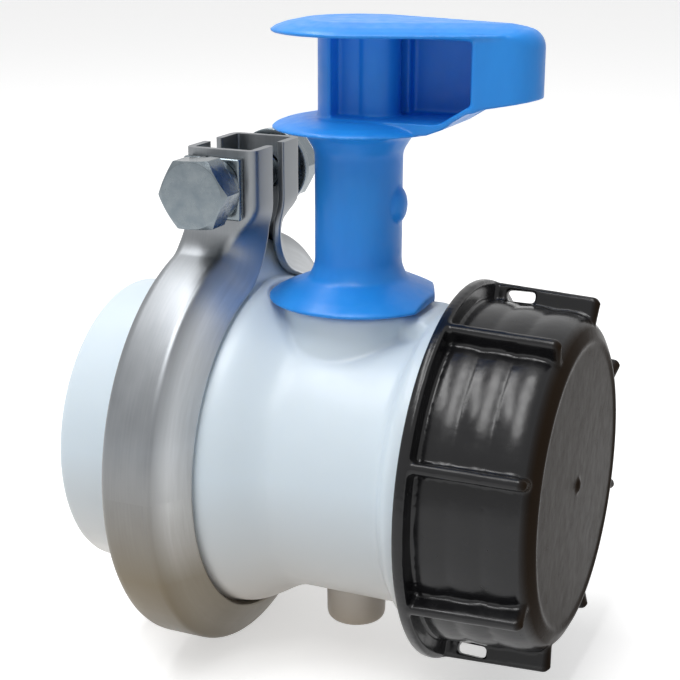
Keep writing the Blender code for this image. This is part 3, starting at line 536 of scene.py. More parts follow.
def strip_steel():
    """Rolled stainless strip: long faint lines round the band and smudges, with a painted reflection
    lightening the flank and a painted warm floor reflection low down.
    """
    dark_steel = (0.15, 0.16, 0.175)
    light_steel = (0.29, 0.305, 0.32)
    painted_flank_reflection = (0.56, 0.58, 0.60)
    line_grey = (0.31, 0.32, 0.32)
    painted_reflection_warm_steel = (0.13, 0.10, 0.055)
    spot_grey = (0.12, 0.11, 0.10)
    mat, tree, shader = new_material("strip_steel", (0.52, 0.53, 0.53), 0.3, 1.0)
    place = object_space(tree)
    round_place = round_the_axis(tree, place)
    lines = noise(tree, stretched(tree, round_place, 1.0, 0.03, 1.0), 0.4, 3.0, 0.6)
    smudge = noise(tree, stretched(tree, round_place, 1.0, 0.5, 1.0), 9.0, 4.0, 0.55)
    axes = split_axes(tree, place)
    crown_edge = (STEM_X + BAND_SECTION[1][0]) * MM
    # Painted reflection: the flank below the ears is lightened where the white body would be reflected in
    # it.
    flank = remap(tree, axes["X"], crown_edge, crown_edge + 2.0 * MM, 0.0, 1.0)
    below_ears = remap(tree, axes["Z"], 46.0 * MM, 34.0 * MM, 0.0, 1.0)
    painted_flank_share = calculate(tree, "MULTIPLY", flank, below_ears)
    color = blend_color(tree, smudge, dark_steel, light_steel)
    color = blend_color(tree, painted_flank_share, color, painted_flank_reflection)
    color = blend_color(tree, remap(tree, lines, 0.3, 0.7, 0.0, 0.25), color, line_grey)
    # Painted reflection: a warm tint that grows towards the bottom stands in for the warm floor reflected
    # in the steel.
    color = blend_color(tree, remap(tree, axes["Z"], 10.0 * MM, -18.0 * MM, 0.0, 0.85), color, painted_reflection_warm_steel)
    specks = noise(tree, stretched(tree, round_place, 1.0, 0.5, 1.0), 3.2, 4.0, 0.7)
    color = blend_color(tree, remap(tree, specks, 0.72, 0.80, 0.0, 0.5), color, spot_grey)
    tree.links.new(color, shader.inputs["Base Color"])
    tree.links.new(remap(tree, smudge, 0.3, 0.75, 0.34, 0.48), shader.inputs["Roughness"])
    fine = bump(tree, lines, 0.004)
    tree.links.new(bump(tree, noise(tree, place, 9.0, 1.0), 0.05, fine), shader.inputs["Normal"])
    return mat


def zinc_steel():
    """Bright zinc plating, slightly blue, with a faint cloudy grain."""
    dark_zinc = (0.10, 0.13, 0.155)
    light_zinc = (0.27, 0.30, 0.315)
    mat, tree, shader = new_material("zinc_plating", (0.70, 0.73, 0.76), 0.24, 1.0)
    place = object_space(tree)
    cloud = noise(tree, place, 2.4, 5.0, 0.6)
    tree.links.new(blend_color(tree, cloud, dark_zinc, light_zinc), shader.inputs["Base Color"])
    tree.links.new(remap(tree, cloud, 0.3, 0.7, 0.16, 0.34), shader.inputs["Roughness"])
    coarse = bump(tree, noise(tree, place, 1.8, 3.0), 0.02)
    tree.links.new(bump(tree, noise(tree, place, 0.22, 2.0), 0.004, coarse), shader.inputs["Normal"])
    return mat


def turned_steel():
    """Plain stainless steel, as turned."""
    dark_mark = (0.48, 0.48, 0.47)
    light_mark = (0.62, 0.62, 0.60)
    mat, tree, shader = new_material("turned_steel", (0.55, 0.55, 0.54), 0.28, 1.0)
    place = object_space(tree)
    marks = noise(tree, stretched(tree, place, 0.2, 0.2, 1.0), 0.25, 3.0)
    tree.links.new(blend_color(tree, marks, dark_mark, light_mark), shader.inputs["Base Color"])
    tree.links.new(remap(tree, marks, 0.3, 0.7, 0.22, 0.38), shader.inputs["Roughness"])
    tree.links.new(bump(tree, marks, 0.004), shader.inputs["Normal"])
    return mat


def seal_rubber():
    """Matt black rubber with a fine grain and a little bloom."""
    black_rubber = (0.015, 0.015, 0.016)
    grey_bloom = (0.040, 0.040, 0.042)
    mat, tree, shader = new_material("seal_rubber", (0.022, 0.022, 0.024), 0.65)
    place = object_space(tree)
    bloom = noise(tree, place, 3.0, 4.0, 0.6)
    tree.links.new(blend_color(tree, bloom, black_rubber, grey_bloom), shader.inputs["Base Color"])
    tree.links.new(remap(tree, bloom, 0.3, 0.7, 0.55, 0.75), shader.inputs["Roughness"])
    tree.links.new(bump(tree, noise(tree, place, 0.3, 2.0), 0.01), shader.inputs["Normal"])
    return mat


# White mouldings
def make_spigot(material):
    corners = [(SPIGOT_FACE_X, BORE_R, 0.3), (SPIGOT_FACE_X, FLANGE_R, 0.6)]
    corners += [(SPIGOT_EDGE_X, FLANGE_R, 0.7), (SPIGOT_EDGE_X, SPIGOT_R, 3.0)]
    corners += [(-STEM_X, SPIGOT_R, 1.2), (-STEM_X, BORE_R, 0.9)]
    piece = lathe("spigot_moulding", rounded(corners, True), STEM_AT, closed=True)
    smooth_shade(piece)
    dress(piece, "body", "white_polyethylene", material, "tank_spigot")


def body_outline():
    """Neck, ring, barrel that flares into the shoulder, and flange with its sloped back."""
    corners = [(NECK_END_X, 0.0, 0), (NECK_END_X, NECK_R, 0.8), (21.5, NECK_R, 0.2)]
    corners += [(21.4, COLLAR_R - 0.1, 0.5), (18.2, COLLAR_R, 1.2), (17.0, COLLAR_R - 1.4, 1.2)]
    corners += [(16.0, BARREL_R, 1.6)]
    corners += curve_between((-5.4, BARREL_R), (-19.0, SHOULDER_R))
    corners += [(-20.2, SHOULDER_R, 0), (-24.4, FLANGE_R - 0.4, 0.3), (-24.7, FLANGE_R, 0.2)]
    corners += [(BODY_FACE_X, FLANGE_R, 0.3), (BODY_FACE_X, 0.0, 0)]
    return rounded(corners)


def make_body(material):
    """Turned body with boss, nub and bridge, then its landing, bores and the liner's seat."""
    piece = lathe("body_moulding", body_outline(), STEM_AT)
    boss = [(BOSS_NECK_TOP_Z, 0.0, 0), (BOSS_NECK_TOP_Z, BOSS_NECK_R, 0.5), (BOSS_TOP_Z, BOSS_NECK_R, 0)]
    boss += [(BOSS_TOP_Z, BOSS_R, 0.9), (28.0, BOSS_R, 3.0)]
    boss += [(22.0, BOSS_R + 1.6, 1.0), (20.0, BOSS_R + 1.6, 0), (20.0, 0.0, 0)]
    combine(piece, lathe("boss", rounded(boss), STEM_AT, "Z", PLAIN), "UNION")
    nub = [(-20.0, 0.0, 0), (-20.0, NUB_R + 0.2, 0), (NUB_BOTTOM_Z, NUB_R, 1.6), (NUB_BOTTOM_Z, 0.0, 0)]
    combine(piece, lathe("nub", rounded(nub), STEM_AT, "Z", PLAIN), "UNION")
    combine(piece, block("bridge", *BRIDGE, STEM_AT, soften=2.0), "UNION")
    inner_r, outer_r = LANDING_R
    above = LANDING_Z + 8.0
    landing = [(above, outer_r), (LANDING_Z, outer_r), (LANDING_Z, inner_r), (above, inner_r)]
    combine(piece, lathe("landing", landing, STEM_AT, "Z", PLAIN, closed=True))
    seat_r = LINER_R + 0.3
    seat_half = LINER_HALF + 0.3
    bore = [(NECK_END_X + 1.0, 0.0), (NECK_END_X + 1.0, BORE_R)]
    bore += [(seat_half, BORE_R), (seat_half, seat_r), (-seat_half, seat_r), (-seat_half, BORE_R)]
    bore += [(BODY_FACE_X - 1.0, BORE_R), (BODY_FACE_X - 1.0, 0.0)]
    combine(piece, lathe("bore", bore, STEM_AT))
    combine(piece, rod("journal", JOURNAL_BORE_R, 18.0, 36.8, STEM_AT))
    combine(piece, rod("pivot", PIVOT_BORE_R, -33.7, -18.0, STEM_AT))
    mould(piece, voxel=0.5, smoothing=6, keep=0.5)
    dress(piece, "body", "white_polyethylene", material, "valve_body")


def thread_form(along, turn):
    """1 on the crest, 0 in the root, with sloping flanks between."""
    share = (along / CAP_PITCH - turn / (2 * math.pi)) % 1.0
    steepness = 8.0
    height = 2.4
    return max(0.0, min(1.0, height - abs(share - 0.5) * steepness))


def coarse_thread(name, radius, wall_r, start, end, count, deep, shift):
    """Tube that swells by deep along a thread of the cap's pitch, with its other wall at wall_r."""
    def swell(along, turn):
        run_out = min(1.0, (along - start) / THREAD_RUN_OUT, (end - along) / THREAD_RUN_OUT)
        return deep * thread_form(along + shift, turn) * max(0.0, run_out)

    outline = [(start + (end - start) * k / count, radius) for k in range(count + 1)]
    piece = lathe(name, outline, STEM_AT, steps=PLAIN, swell=swell)
    close_tube(piece, wall_r)
    smooth_shade(piece, 50.0)
    return piece


def make_outlet_thread(material):
    """Coarse round thread on the neck, under the cap."""
    start = CAP_REAR_X + 1.6
    end = NECK_END_X - 1.0
    piece = coarse_thread("outlet_thread", NECK_R + 0.02, NECK_R - 0.6, start, end, 44, THREAD_DEEP, 0.0)
    dress(piece, "body", "white_polyethylene", material)


def close_tube(piece, wall_r):
    """Give an open tube round the flow axis a second wall, so that it is a closed ring."""
    bm = bmesh.new()
    bm.from_mesh(piece.data)
    rims = [edge for edge in bm.edges if edge.is_boundary]
    made = bmesh.ops.extrude_edge_only(bm, edges=rims)
    moved = [item for item in made["geom"] if isinstance(item, bmesh.types.BMVert)]
    for vert in moved:
        flat = Vector((0.0, vert.co.y, vert.co.z))
        flat = flat.normalized() * wall_r * MM
        vert.co.y = flat.y
        vert.co.z = flat.z
    bmesh.ops.bridge_loops(bm, edges=[edge for edge in bm.edges if edge.is_boundary])
    bmesh.ops.recalc_face_normals(bm, faces=bm.faces)
    bm.to_mesh(piece.data)
    bm.free()


def make_disc(material):
    """Lens-shaped disc with a hub whose ends follow the liner, bored for stem and screws."""
    half = [(3.4, 0.0, 0), (3.2, 8.0, 4.0), (2.3, 19.0, 4.0), (1.9, 22.6, 0.6), (1.2, 23.7, 0.4)]
    half.append((0.5, DISC_R, 0.3))
    corners = half + [(-y, r, fillet) for y, r, fillet in reversed(half)]
    piece = lathe("disc_moulding", rounded(corners), STEM_AT, "Y")
    radii = [HUB_R * k / 4 for k in range(5)]
    hub = [(math.sqrt(HUB_END_Z ** 2 - r ** 2), r) for r in radii]
    hub += [(-z, r) for z, r in reversed(hub)]
    combine(piece, lathe("hub", hub, STEM_AT, "Z", PLAIN), "UNION")
    combine(piece, rod("stem_hole", 4.8, -30.0, 30.0, STEM_AT))
    for z in (SCREW_Z, -SCREW_Z):
        screw_at = STEM_AT + Vector((0.0, 0.0, z))
        combine(piece, rod("screw_hole", SCREW_R + 0.3, -12.0, 12.0, screw_at, "Y"))
        combine(piece, rod("screw_seat", SCREW_HEAD_R + 0.4, -12.0, SCREW_SEAT_Y, screw_at, "Y"))
    mould(piece, voxel=0.35, smoothing=5, keep=0.4)
    dress(piece, "handle", "white_polyethylene", material, "disc")


def make_liner(material):
    corners = [(LINER_HALF, LINER_R, 0.3), (-LINER_HALF, LINER_R, 0.3), (-LINER_HALF, LINER_BORE_R, 0.5)]
    corners += [(LINER_HALF, LINER_BORE_R, 0.5)]
    piece = lathe("liner_ring", rounded(corners, True), STEM_AT, closed=True)
    combine(piece, rod("liner_top", JOURNAL_BORE_R, 0.0, 30.0, STEM_AT))
    combine(piece, rod("liner_low", PIVOT_BORE_R, -30.0, 0.0, STEM_AT))
    smooth_shade(piece)
    dress(piece, "body", "seal_rubber", material, "seat_liner")


# Handle
def plate_lean():
    """Angle in degrees between the plate's straight sides and its middle line."""
    return math.degrees(math.asin((PLATE_R - TIP_R) / TIP_X))


def handle_outline():
    """Middle collar with a thin rim like the top plate's, column, and skirt over the boss."""
    low, high = PLATE_Z
    corners = [(high, 0.0, 0)]
    for (inset, drop), fillet in zip(RIM_DROP, (8.0, 3.0, 1.0, 0.4)):
        corners.append((high - drop, PLATE_R - inset, fillet))
    corners += [(low, PLATE_R - 0.4, 0.4), (low - 0.2, 13.2, 3.0), (65.0, 10.6, 3.0), (61.6, COLUMN_R, 4.0)]
    corners += [(39.4, COLUMN_R, 6.0), (37.0, 9.6, 2.0), (35.8, 12.3, 3.0), (34.6, 15.0, 3.0)]
    corners += [(33.5, 17.0, 1.0), (32.9, SKIRT_R, 0.4), (SKIRT_Z, SKIRT_R - 0.5, 0.3)]
    corners += [(SKIRT_Z, 15.6, 0.3), (33.7, 13.0, 1.0), (34.5, 9.9, 0.5), (35.7, 9.9, 0), (35.7, 0.0, 0)]
    return rounded(corners)


def plate_ring(inset, z):
    """Outline round the large circle on the axis and the small one at the tip, at one level."""
    lean = plate_lean()
    outline = arc(0.0, 0.0, PLATE_R - inset, 90 - lean, 270 + lean, 60)
    outline += arc(TIP_X, 0.0, TIP_R - inset, -90 + lean, 90 - lean, 24)
    return [(x, y, z) for x, y in outline]


def top_plate():
    """Plate with a flat underside and a top that falls away towards its thin rim."""
    levels = [(inset, drop, fillet) for (inset, drop), fillet in zip(RIM_DROP, (0, 3.0, 1.0, 0))]
    rings = [plate_ring(inset, TOP_Z[1] - drop) for inset, drop in rounded(levels)]
    rings += [plate_ring(0.1, TOP_Z[0] + 0.2), plate_ring(0.4, TOP_Z[0])]
    return loft("plate", rings, STEM_AT)


def window_outline():
    """The open pocket of the grip seen from above: shallow left of the post, deep right of it."""
    web = 1.6
    back = 4.2
    step_x = 8.6
    left, right = POCKET_X
    shallow, deep = POCKET_Y
    lean = math.degrees(math.acos(web / POST_R))
    dip = math.degrees(math.asin(-shallow / POST_R))
    post = arc(POST_X, 0.0, POST_R, lean, dip - 180, 40)
    pocket = [(left, -30.0), (right + 1.2, -30.0), (right + 1.2, -8.6), (right, -7.2)]
    pocket += [(right, deep), (step_x, deep), (step_x, back), (POST_X + web, back)]
    return pocket + post + [(left, shallow)]


def grip_floor():
    """Sloping floor of the pocket, seen from the side: its underside, then its top."""
    thick = 1.2
    under = [(17.0, 67.0), (19.5, 67.8), (24.0, 70.6)]
    end = [(25.4, 71.1), (25.4, 72.2)]
    return under + end + [(x, z + thick) for x, z in reversed(under)]


def tip_shoulder():
    """What the rounding of the grip's tip takes off, fading out along both sides."""
    side_turn = 84
    fade_turn = 60.0
    least_r = 0.3
    added_r = 3.2
    rings = []
    for turn in range(-side_turn, side_turn + 1, 6):
        radius = least_r + added_r * ease((side_turn - abs(turn)) / fade_turn)
        # The plate's top rises away from its rim, so a larger rounding starts higher
        top = TOP_Z[0] + 0.6 + 0.33 * radius
        section = arc(TIP_R - radius, top - radius, radius, 90, 0, 8)
        section += [(TIP_R + 4.0, top - radius), (TIP_R + 4.0, 90.0), (TIP_R - radius, 90.0)]
        out = Vector((math.cos(math.radians(turn)), math.sin(math.radians(turn))))
        rings.append([(TIP_X + out.x * r, out.y * r, z) for r, z in section])
    return loft("tip_shoulder", rings, STEM_AT)


def make_handle(material):
    """Turned column and collars with grip and top plate, then its pocket, socket and cuts."""
    piece = lathe("handle_moulding", handle_outline(), STEM_AT, "Z")
    lean = plate_lean()
    tip = arc(TIP_X, 0.0, TIP_R, -90 + lean, 90 - lean, 24)
    grip = arc(0.0, 0.0, HEAD_R, 90, 270, 40) + [(GRIP_X, -GRIP_HALF_Y)] + tip + [(GRIP_X, GRIP_HALF_Y)]
    combine(piece, slab("grip", grip, PLATE_Z[0] + 0.4, TOP_Z[0] + 1.0, STEM_AT), "UNION")
    combine(piece, top_plate(), "UNION")
    slope = [(15.4, 66.0), (19.5, 67.6), (24.0, 70.4), (27.0, 71.6), (40.0, 73.9)]
    slope += [(40.0, 60.0), (15.4, 60.0)]
    combine(piece, slab("underside", slope, -30.0, 30.0, STEM_AT, stand=True))
    combine(piece, slab("window", window_outline(), PLATE_Z[1] + 0.3, TOP_Z[0] - 0.3, STEM_AT))
    combine(piece, slab("floor", grip_floor(), -7.0, 8.0, STEM_AT, stand=True), "UNION")
    combine(piece, tip_shoulder())
    low = (-SOCKET_HALF, -SOCKET_HALF, SKIRT_Z - 2.5)
    combine(piece, block("socket", low, (SOCKET_HALF, SOCKET_HALF, SOCKET_TOP_Z), STEM_AT))
    combine(piece, slab("skirt_cut", SKIRT_CUT, SKIRT_Z - 1.0, 45.0, STEM_AT))
    combine(piece, pin_pad(), "UNION")
    combine(piece, rod("pin_hole", PIN_R + 0.3, -7.6, 7.6, PIN_AT, "X"))
    mould(piece, voxel=0.32, smoothing=4, keep=0.4)
    dress(piece, "handle", "blue_plastic", material, "handle")


def pin_pad():
    """The bump that covers the pin's end on the column's side towards the cap."""
    half_size = (2.1, 3.0, 3.8)
    bm = bmesh.new()
    bmesh.ops.create_uvsphere(bm, u_segments=32, v_segments=20, radius=1.0)
    bmesh.ops.scale(bm, vec=half_size, verts=bm.verts)
    return placed_piece("pin_pad", bm, STEM_AT + Vector((COLUMN_R - 0.7, 0.0, PIN_Z + 1.6)))


def make_pin(material):
    half = COLUMN_R - 1.1
    corners = [(half, 0.0, 0), (half, PIN_R, 0.4), (-half, PIN_R, 0.4), (-half, 0.0, 0)]
    piece = lathe("drive_pin", rounded(corners), PIN_AT, "X", 48)
    smooth_shade(piece)
    dress(piece, "handle", "stainless_steel", material, "handle_pin")


def make_disc_screw(name, z, material, node):
    """Screw through disc and stem, with a cross slot in its low round head."""
    end_y = 7.4
    under_y = SCREW_SEAT_Y - 0.3
    head_y = -7.3
    corners = [(end_y, 0.0, 0), (end_y, SCREW_R, 0.3), (under_y, SCREW_R, 0)]
    corners += [(under_y, SCREW_HEAD_R, 0.3), (head_y, SCREW_HEAD_R - 0.2, 1.1), (head_y, 0.0, 0)]
    screw_at = STEM_AT + Vector((0.0, 0.0, z))
    piece = lathe(name, rounded(corners), screw_at, "Y", 64)
    for half_x, half_z in ((2.2, 0.4), (0.4, 2.2)):
        combine(piece, block("slot", (-half_x, -8.0, -half_z), (half_x, -6.6, half_z), screw_at))
    smooth_shade(piece)
    dress(piece, "handle", "stainless_steel", material, node)


# Clamp band
def offset_corners(corners, distance):
    """Corners of an open chain moved inward, along the mitre at each one."""
    moved = []
    for i, corner in enumerate(corners):
        corner = Vector(corner)
        normals = []
        for first, second in ((i - 1, i), (i, i + 1)):
            if first >= 0 and second < len(corners):
                along = (Vector(corners[second]) - Vector(corners[first])).normalized()
                normals.append(Vector((-along.y, along.x)))
        mitre = sum(normals, Vector((0.0, 0.0))).normalized()
        moved.append(corner - mitre * (distance / mitre.dot(normals[0])))
    return moved


def band_section(blend):
    """Closed section of (x, depth) points: blend 0 on the band and 1 on the ear."""
    outer = []
    for (x0, d0), (x1, d1) in zip(BAND_SECTION, EAR_SECTION):
        outer.append((x0 + (x1 - x0) * blend, d0 + (d1 - d0) * blend))
    inner = offset_corners(outer, BAND_THICK)
    fold_r = 0.7
    outer_fold_r = fold_r + BAND_THICK
    lip_r = 0.45
    corners = [(*outer[0], lip_r), (*outer[1], outer_fold_r), (*outer[2], outer_fold_r), (*outer[3], lip_r)]
    corners += [(*inner[3], lip_r), (*inner[2], fold_r), (*inner[1], fold_r), (*inner[0], lip_r)]
    return rounded(corners, True)


def band_path():
    """Half of the band's line: (place, inward direction, blend) from bottom to ear top."""
    centre_y = EAR_FACE_Y + EAR_BEND_R
    centre_z = math.sqrt((BAND_R + EAR_BEND_R) ** 2 - centre_y ** 2)
    lift = math.atan2(centre_z, centre_y)
    stations = []
    round_count = 72
    bend_count = 14
    rise_count = 14
    for i in range(round_count + 1):
        angle = -math.pi / 2 + (lift + math.pi / 2) * i / round_count
        out = Vector((-math.cos(angle), math.sin(angle)))
        stations.append((out * BAND_R, -out, 0.0))
    centre = Vector((-centre_y, centre_z))
    for i in range(1, bend_count + 1):
        angle = lift * (i / bend_count - 1)
        inward = Vector((math.cos(angle), math.sin(angle)))
        run = EAR_BEND_R * lift * i / bend_count
        stations.append((centre + inward * EAR_BEND_R, inward, ear_blend(run)))
    for i in range(1, rise_count + 1):
        z = centre_z + (EAR_TOP_Z - centre_z) * i / rise_count
        run = EAR_BEND_R * lift + z - centre_z
        stations.append((Vector((-EAR_FACE_Y, z)), Vector((1.0, 0.0)), ear_blend(run)))
    return stations


def ear_blend(run):
    """How far the section has changed into the ear's, after a run along the bend."""
    change_start = 2.3
    change_length = 8.8
    return ease((run - change_start) / change_length)


def make_band(material):
    """Loft of half of the strip, mirrored, with the bolt holes cut through its ears."""
    bm = bmesh.new()
    rings = []
    for place, inward, blend in band_path():
        ring = []
        for x, depth in band_section(blend):
            point = place + inward * depth
            ring.append(bm.verts.new(((STEM_X + x) * MM, point.x * MM, point.y * MM)))
        rings.append(ring)
    for vert in rings[0]:
        vert.co.y = 0.0
    add_bands(bm, rings, False)
    bm.faces.new(rings[-1])
    piece = new_piece("clamp_strip", bm)
    mirror = piece.modifiers.new("Other half", "MIRROR")
    mirror.use_axis = (False, True, False)
    mirror.merge_threshold = 0.02 * MM
    apply_modifiers(piece)
    combine(piece, rod("ear_holes", BOLT_HOLE_R, -20.0, 20.0, BOLT_AT, "Y"))
    smooth_shade(piece)
    dress(piece, "body", "stainless_steel", material, "clamp_band")


# Bolt set
def hexagon(name, low, high, high_chamfer):
    """Hexagonal prism along Y with softened corners and a turned chamfer at one end or both."""
    corner_r = HEX_FLATS / 2 / math.cos(math.pi / 6)
    bm = bmesh.new()
    bmesh.ops.create_cone(bm, cap_ends=True, segments=6, radius1=corner_r, radius2=corner_r,
                          depth=high - low)
    bmesh.ops.translate(bm, vec=(0.0, 0.0, (low + high) / 2), verts=bm.verts)
    upright = [edge for edge in bm.edges if abs(edge.verts[0].co.z - edge.verts[1].co.z) > 1.0]
    bmesh.ops.bevel(bm, geom=upright, offset=0.25, segments=3, affect="EDGES", profile=0.5)
    bmesh.ops.transform(bm, matrix=TURNS["Y"] @ Matrix.Rotation(HEX_TURN, 4, "Z"), verts=bm.verts)
    piece = placed_piece(name, bm, BOLT_AT)
    reach = corner_r + 0.2
    flat_r = HEX_FLATS / 2 - 0.2
    slope = (reach - flat_r) * math.tan(math.radians(30))
    turned = [(low + slope, reach, 0), (low, flat_r, 0.5), (low, 0.0, 0)]
    if high_chamfer:
        turned = [(high, 0.0, 0), (high, flat_r, 0.5), (high - slope, reach, 0)] + turned
    else:
        turned = [(high, 0.0, 0), (high, reach, 0)] + turned
    combine(piece, lathe("chamfer", rounded(turned), BOLT_AT, "Y"), "INTERSECT")
    return piece


def make_bolt(material):
    """Head, and shank with its thread as a swell of a fine turned surface."""
    head = hexagon("bolt_head", HEAD_FACE_Y - HEAD_HIGH, HEAD_FACE_Y, False)
    smooth_shade(head, 20.0)
    dress(head, "bolt", "zinc_plated_steel", material, "clamp_bolt")
    thread_start = -9.0
    steps_per_turn = 8
    count = int((BOLT_END_Y - thread_start) / BOLT_PITCH * steps_per_turn)
    ridge_high = 0.6
    root_r = BOLT_R - ridge_high - 0.02

    def swell(along, turn):
        if along < thread_start + 0.01:
            return 0.0
        share = (along / BOLT_PITCH - turn / (2 * math.pi)) % 1.0
        ridge = ridge_high * (1 - abs(share * 2 - 1))
        room = BOLT_R - root_r - max(0.0, along - (BOLT_END_Y - 1.0))
        return min(ridge, max(0.0, room))

    outline = [(HEAD_FACE_Y - 0.5, 0.0), (HEAD_FACE_Y - 0.5, BOLT_R), (thread_start - 0.6, BOLT_R)]
    for k in range(count + 1):
        outline.append((thread_start + (BOLT_END_Y - thread_start) * k / count, root_r))
    outline.append((BOLT_END_Y, 0.0))
    shank = lathe("bolt_thread", outline, BOLT_AT, "Y", 40, swell=swell)
    smooth_shade(shank, 60.0)
    dress(shank, "bolt", "zinc_plated_steel", material)


def make_nut(material):
    low, high = NUT_Y
    wide_r = 5.6
    piece = hexagon("nut_hex", low, high, True)
    hole = [(high + 1.0, 0.0), (high + 1.0, wide_r), (high - 0.7, RING_HOLE_R)]
    hole += [(low + 0.7, RING_HOLE_R), (low - 1.0, wide_r), (low - 1.0, 0.0)]
    combine(piece, lathe("nut_hole", hole, BOLT_AT, "Y", PLAIN))
    smooth_shade(piece, 20.0)
    dress(piece, "nut", "zinc_plated_steel", material, "clamp_nut")


def make_square_plate(name, side, material, node):
    """Plate against the outside of an ear; side is -1 towards the bolt's head, 1 towards the nut."""
    near = EAR_FACE_Y + 0.3
    low, high = sorted((side * near, side * (near + PLATE_THICK)))
    corners = ((-PLATE_HALF, low, -PLATE_HALF), (PLATE_HALF, high, PLATE_HALF))
    piece = block(name, *corners, BOLT_AT, soften=0.4)
    combine(piece, rod("plate_hole", RING_HOLE_R, -30.0, 30.0, BOLT_AT, "Y"))
    smooth_shade(piece)
    dress(piece, "body", "zinc_plated_steel", material, node)


def washer_ring(name, ends, outer_r, soften):
    """Ring round the bolt with softened edges."""
    low, high = ends
    corners = [(high, outer_r, soften), (low, outer_r, soften)]
    corners += [(low, RING_HOLE_R, soften), (high, RING_HOLE_R, soften)]
    return lathe(name, rounded(corners, True), BOLT_AT, "Y", PLAIN, closed=True)


def make_washers(material):
    """Flat washer under the nut and split washer under the bolt's head."""
    flat = washer_ring("flat_washer", WASHER_Y, WASHER_R, soften=0.25)
    smooth_shade(flat)
    dress(flat, "washer", "zinc_plated_steel", material, "nut_washer")
    split = washer_ring("split_washer", LOCK_Y, LOCK_R, soften=0.2)
    slit_half = 0.4
    combine(split, block("slit", (-slit_half, -20.0, 0.0), (slit_half, 0.0, 12.0), BOLT_AT))
    smooth_shade(split)
    dress(split, "body", "zinc_plated_steel", material, "lock_washer")


# Outlet cap
def panel_radius(x):
    """Outside of the panels between the ribs: a taper with shallow parabolic ridges."""
    share = (x - CAP_FLANGE_X) / (PANEL_FRONT_X - CAP_FLANGE_X)
    part = (PANEL_WAVES * share) % 1.0
    swell = PANEL_WAVE * (4.0 * part * (1.0 - part) - 0.55)
    return PANEL_REAR_R + (PANEL_FRONT_R - PANEL_REAR_R) * share + swell


def cap_outline():
    """Sprue mark, face with its low rim, ridged panels, flange, and the seat inside."""
    corners = [(CAP_FACE_X + 0.6, 0.0, 0), (CAP_FACE_X + 0.6, 0.9, 0), (CAP_FACE_X, 1.5, 0.5)]
    corners += [(CAP_FACE_X, 27.2, 0.6), (CAP_FACE_X + 0.35, 27.9, 0.4), (CAP_FACE_X + 0.3, 28.5, 0.5)]
    corners += [(CAP_FACE_X - 0.2, 29.6, 0.8), (CAP_FACE_X - 0.8, 30.8, 0.8), (CAP_FACE_X - 1.6, 31.7, 0.6)]
    count = 48
    for i in range(count + 1):
        x = PANEL_FRONT_X + (CAP_FLANGE_X - PANEL_FRONT_X) * i / count
        corners.append((x, panel_radius(x), 0))
    corners += [(CAP_FLANGE_X, CAP_FLANGE_R, 0.6), (CAP_REAR_X, CAP_FLANGE_R, 0.8)]
    corners += [(CAP_REAR_X, CAP_INNER_R, 0.6), (CAP_SEAT_X, CAP_INNER_R, 0.5), (CAP_SEAT_X, 0.0, 0)]
    return rounded(corners)


def turned_to_rib(piece, i):
    """Piece made at the top of the cap, turned round the flow axis to the place of rib i."""
    turn = Matrix.Rotation(math.pi / 2 - (RIB_PHASE + i * 2 * math.pi / RIB_COUNT), 4, "X")
    centre = Matrix.Translation(STEM_AT * MM)
    piece.data.transform(centre @ turn @ centre.inverted())
    return piece


def make_cap(material):
    """Turned shell with ribs along it; two opposite ribs are slotted."""
    piece = lathe("cap_moulding", cap_outline(), STEM_AT)
    rear_x = CAP_FLANGE_X - 0.6
    root = CAP_INNER_R + 1.0
    chamfer = 0.9
    outline = [(rear_x, root), (RIB_END_X - 0.4, root - 0.6), (RIB_END_X, RIB_FRONT_R - chamfer)]
    outline += [(RIB_END_X - chamfer, RIB_FRONT_R), (rear_x, RIB_REAR_R)]
    for i in range(RIB_COUNT):
        rib = slab("rib", outline, -RIB_THICK / 2, RIB_THICK / 2, STEM_AT, soften=0.8, stand=True)
        combine(piece, turned_to_rib(rib, i), "UNION")
    low = PANEL_REAR_R + 0.2
    corners = ((SLOT_X[0], -SLOT_HALF_Y, low), (SLOT_X[1], SLOT_HALF_Y, low + SLOT_HIGH))
    for i in SLOTTED_RIBS:
        combine(piece, turned_to_rib(block("slot", *corners, STEM_AT), i))
    mould(piece, voxel=0.36, smoothing=6, keep=0.42)
    dress(piece, "cap", "black_plastic", material, "outlet_cap")


def make_cap_thread(material):
    """Thread inside the cap, half a pitch from the neck's, so that they never touch."""
    start = CAP_REAR_X + 2.0
    end = CAP_SEAT_X - 3.0
    inner_r = CAP_INNER_R - 0.05
    wall_r = CAP_INNER_R + 0.8
    piece = coarse_thread("cap_thread", inner_r, wall_r, start, end, 40, -THREAD_DEEP, CAP_PITCH / 2)
    dress(piece, "cap", "black_plastic", material)


# Studio
def seen_directly(tree, otherwise, seen):
    """One value for camera, mirror and glass rays, another for the light on the object."""
    rays = add_node(tree, "ShaderNodeLightPath").outputs
    share = rays["Is Camera Ray"]
    for ray in ("Is Glossy Ray", "Is Transmission Ray"):
        share = calculate(tree, "MAXIMUM", share, rays[ray])
    return remap(tree, share, 0.0, 1.0, otherwise, seen)


def make_floor():
    """White floor just under the part, whose own glow only the camera and mirrors see."""
    half_side_m = 6.0
    glow = 0.52
    low = cad_box[0].z - 0.2 * MM
    bm = bmesh.new()
    bmesh.ops.create_grid(bm, x_segments=1, y_segments=1, size=half_side_m)
    bmesh.ops.translate(bm, vec=(0.0, 0.0, low), verts=bm.verts)
    floor = new_piece("floor", bm)
    mat, tree, shader = new_material("floor", (0.86, 0.86, 0.86), 0.7)
    shader.inputs["Specular IOR Level"].default_value = 0.1
    shader.inputs["Emission Color"].default_value = (1.0, 1.0, 1.0, 1.0)
    tree.links.new(seen_directly(tree, 0.0, glow), shader.inputs["Emission Strength"])
    floor.data.materials.append(mat)


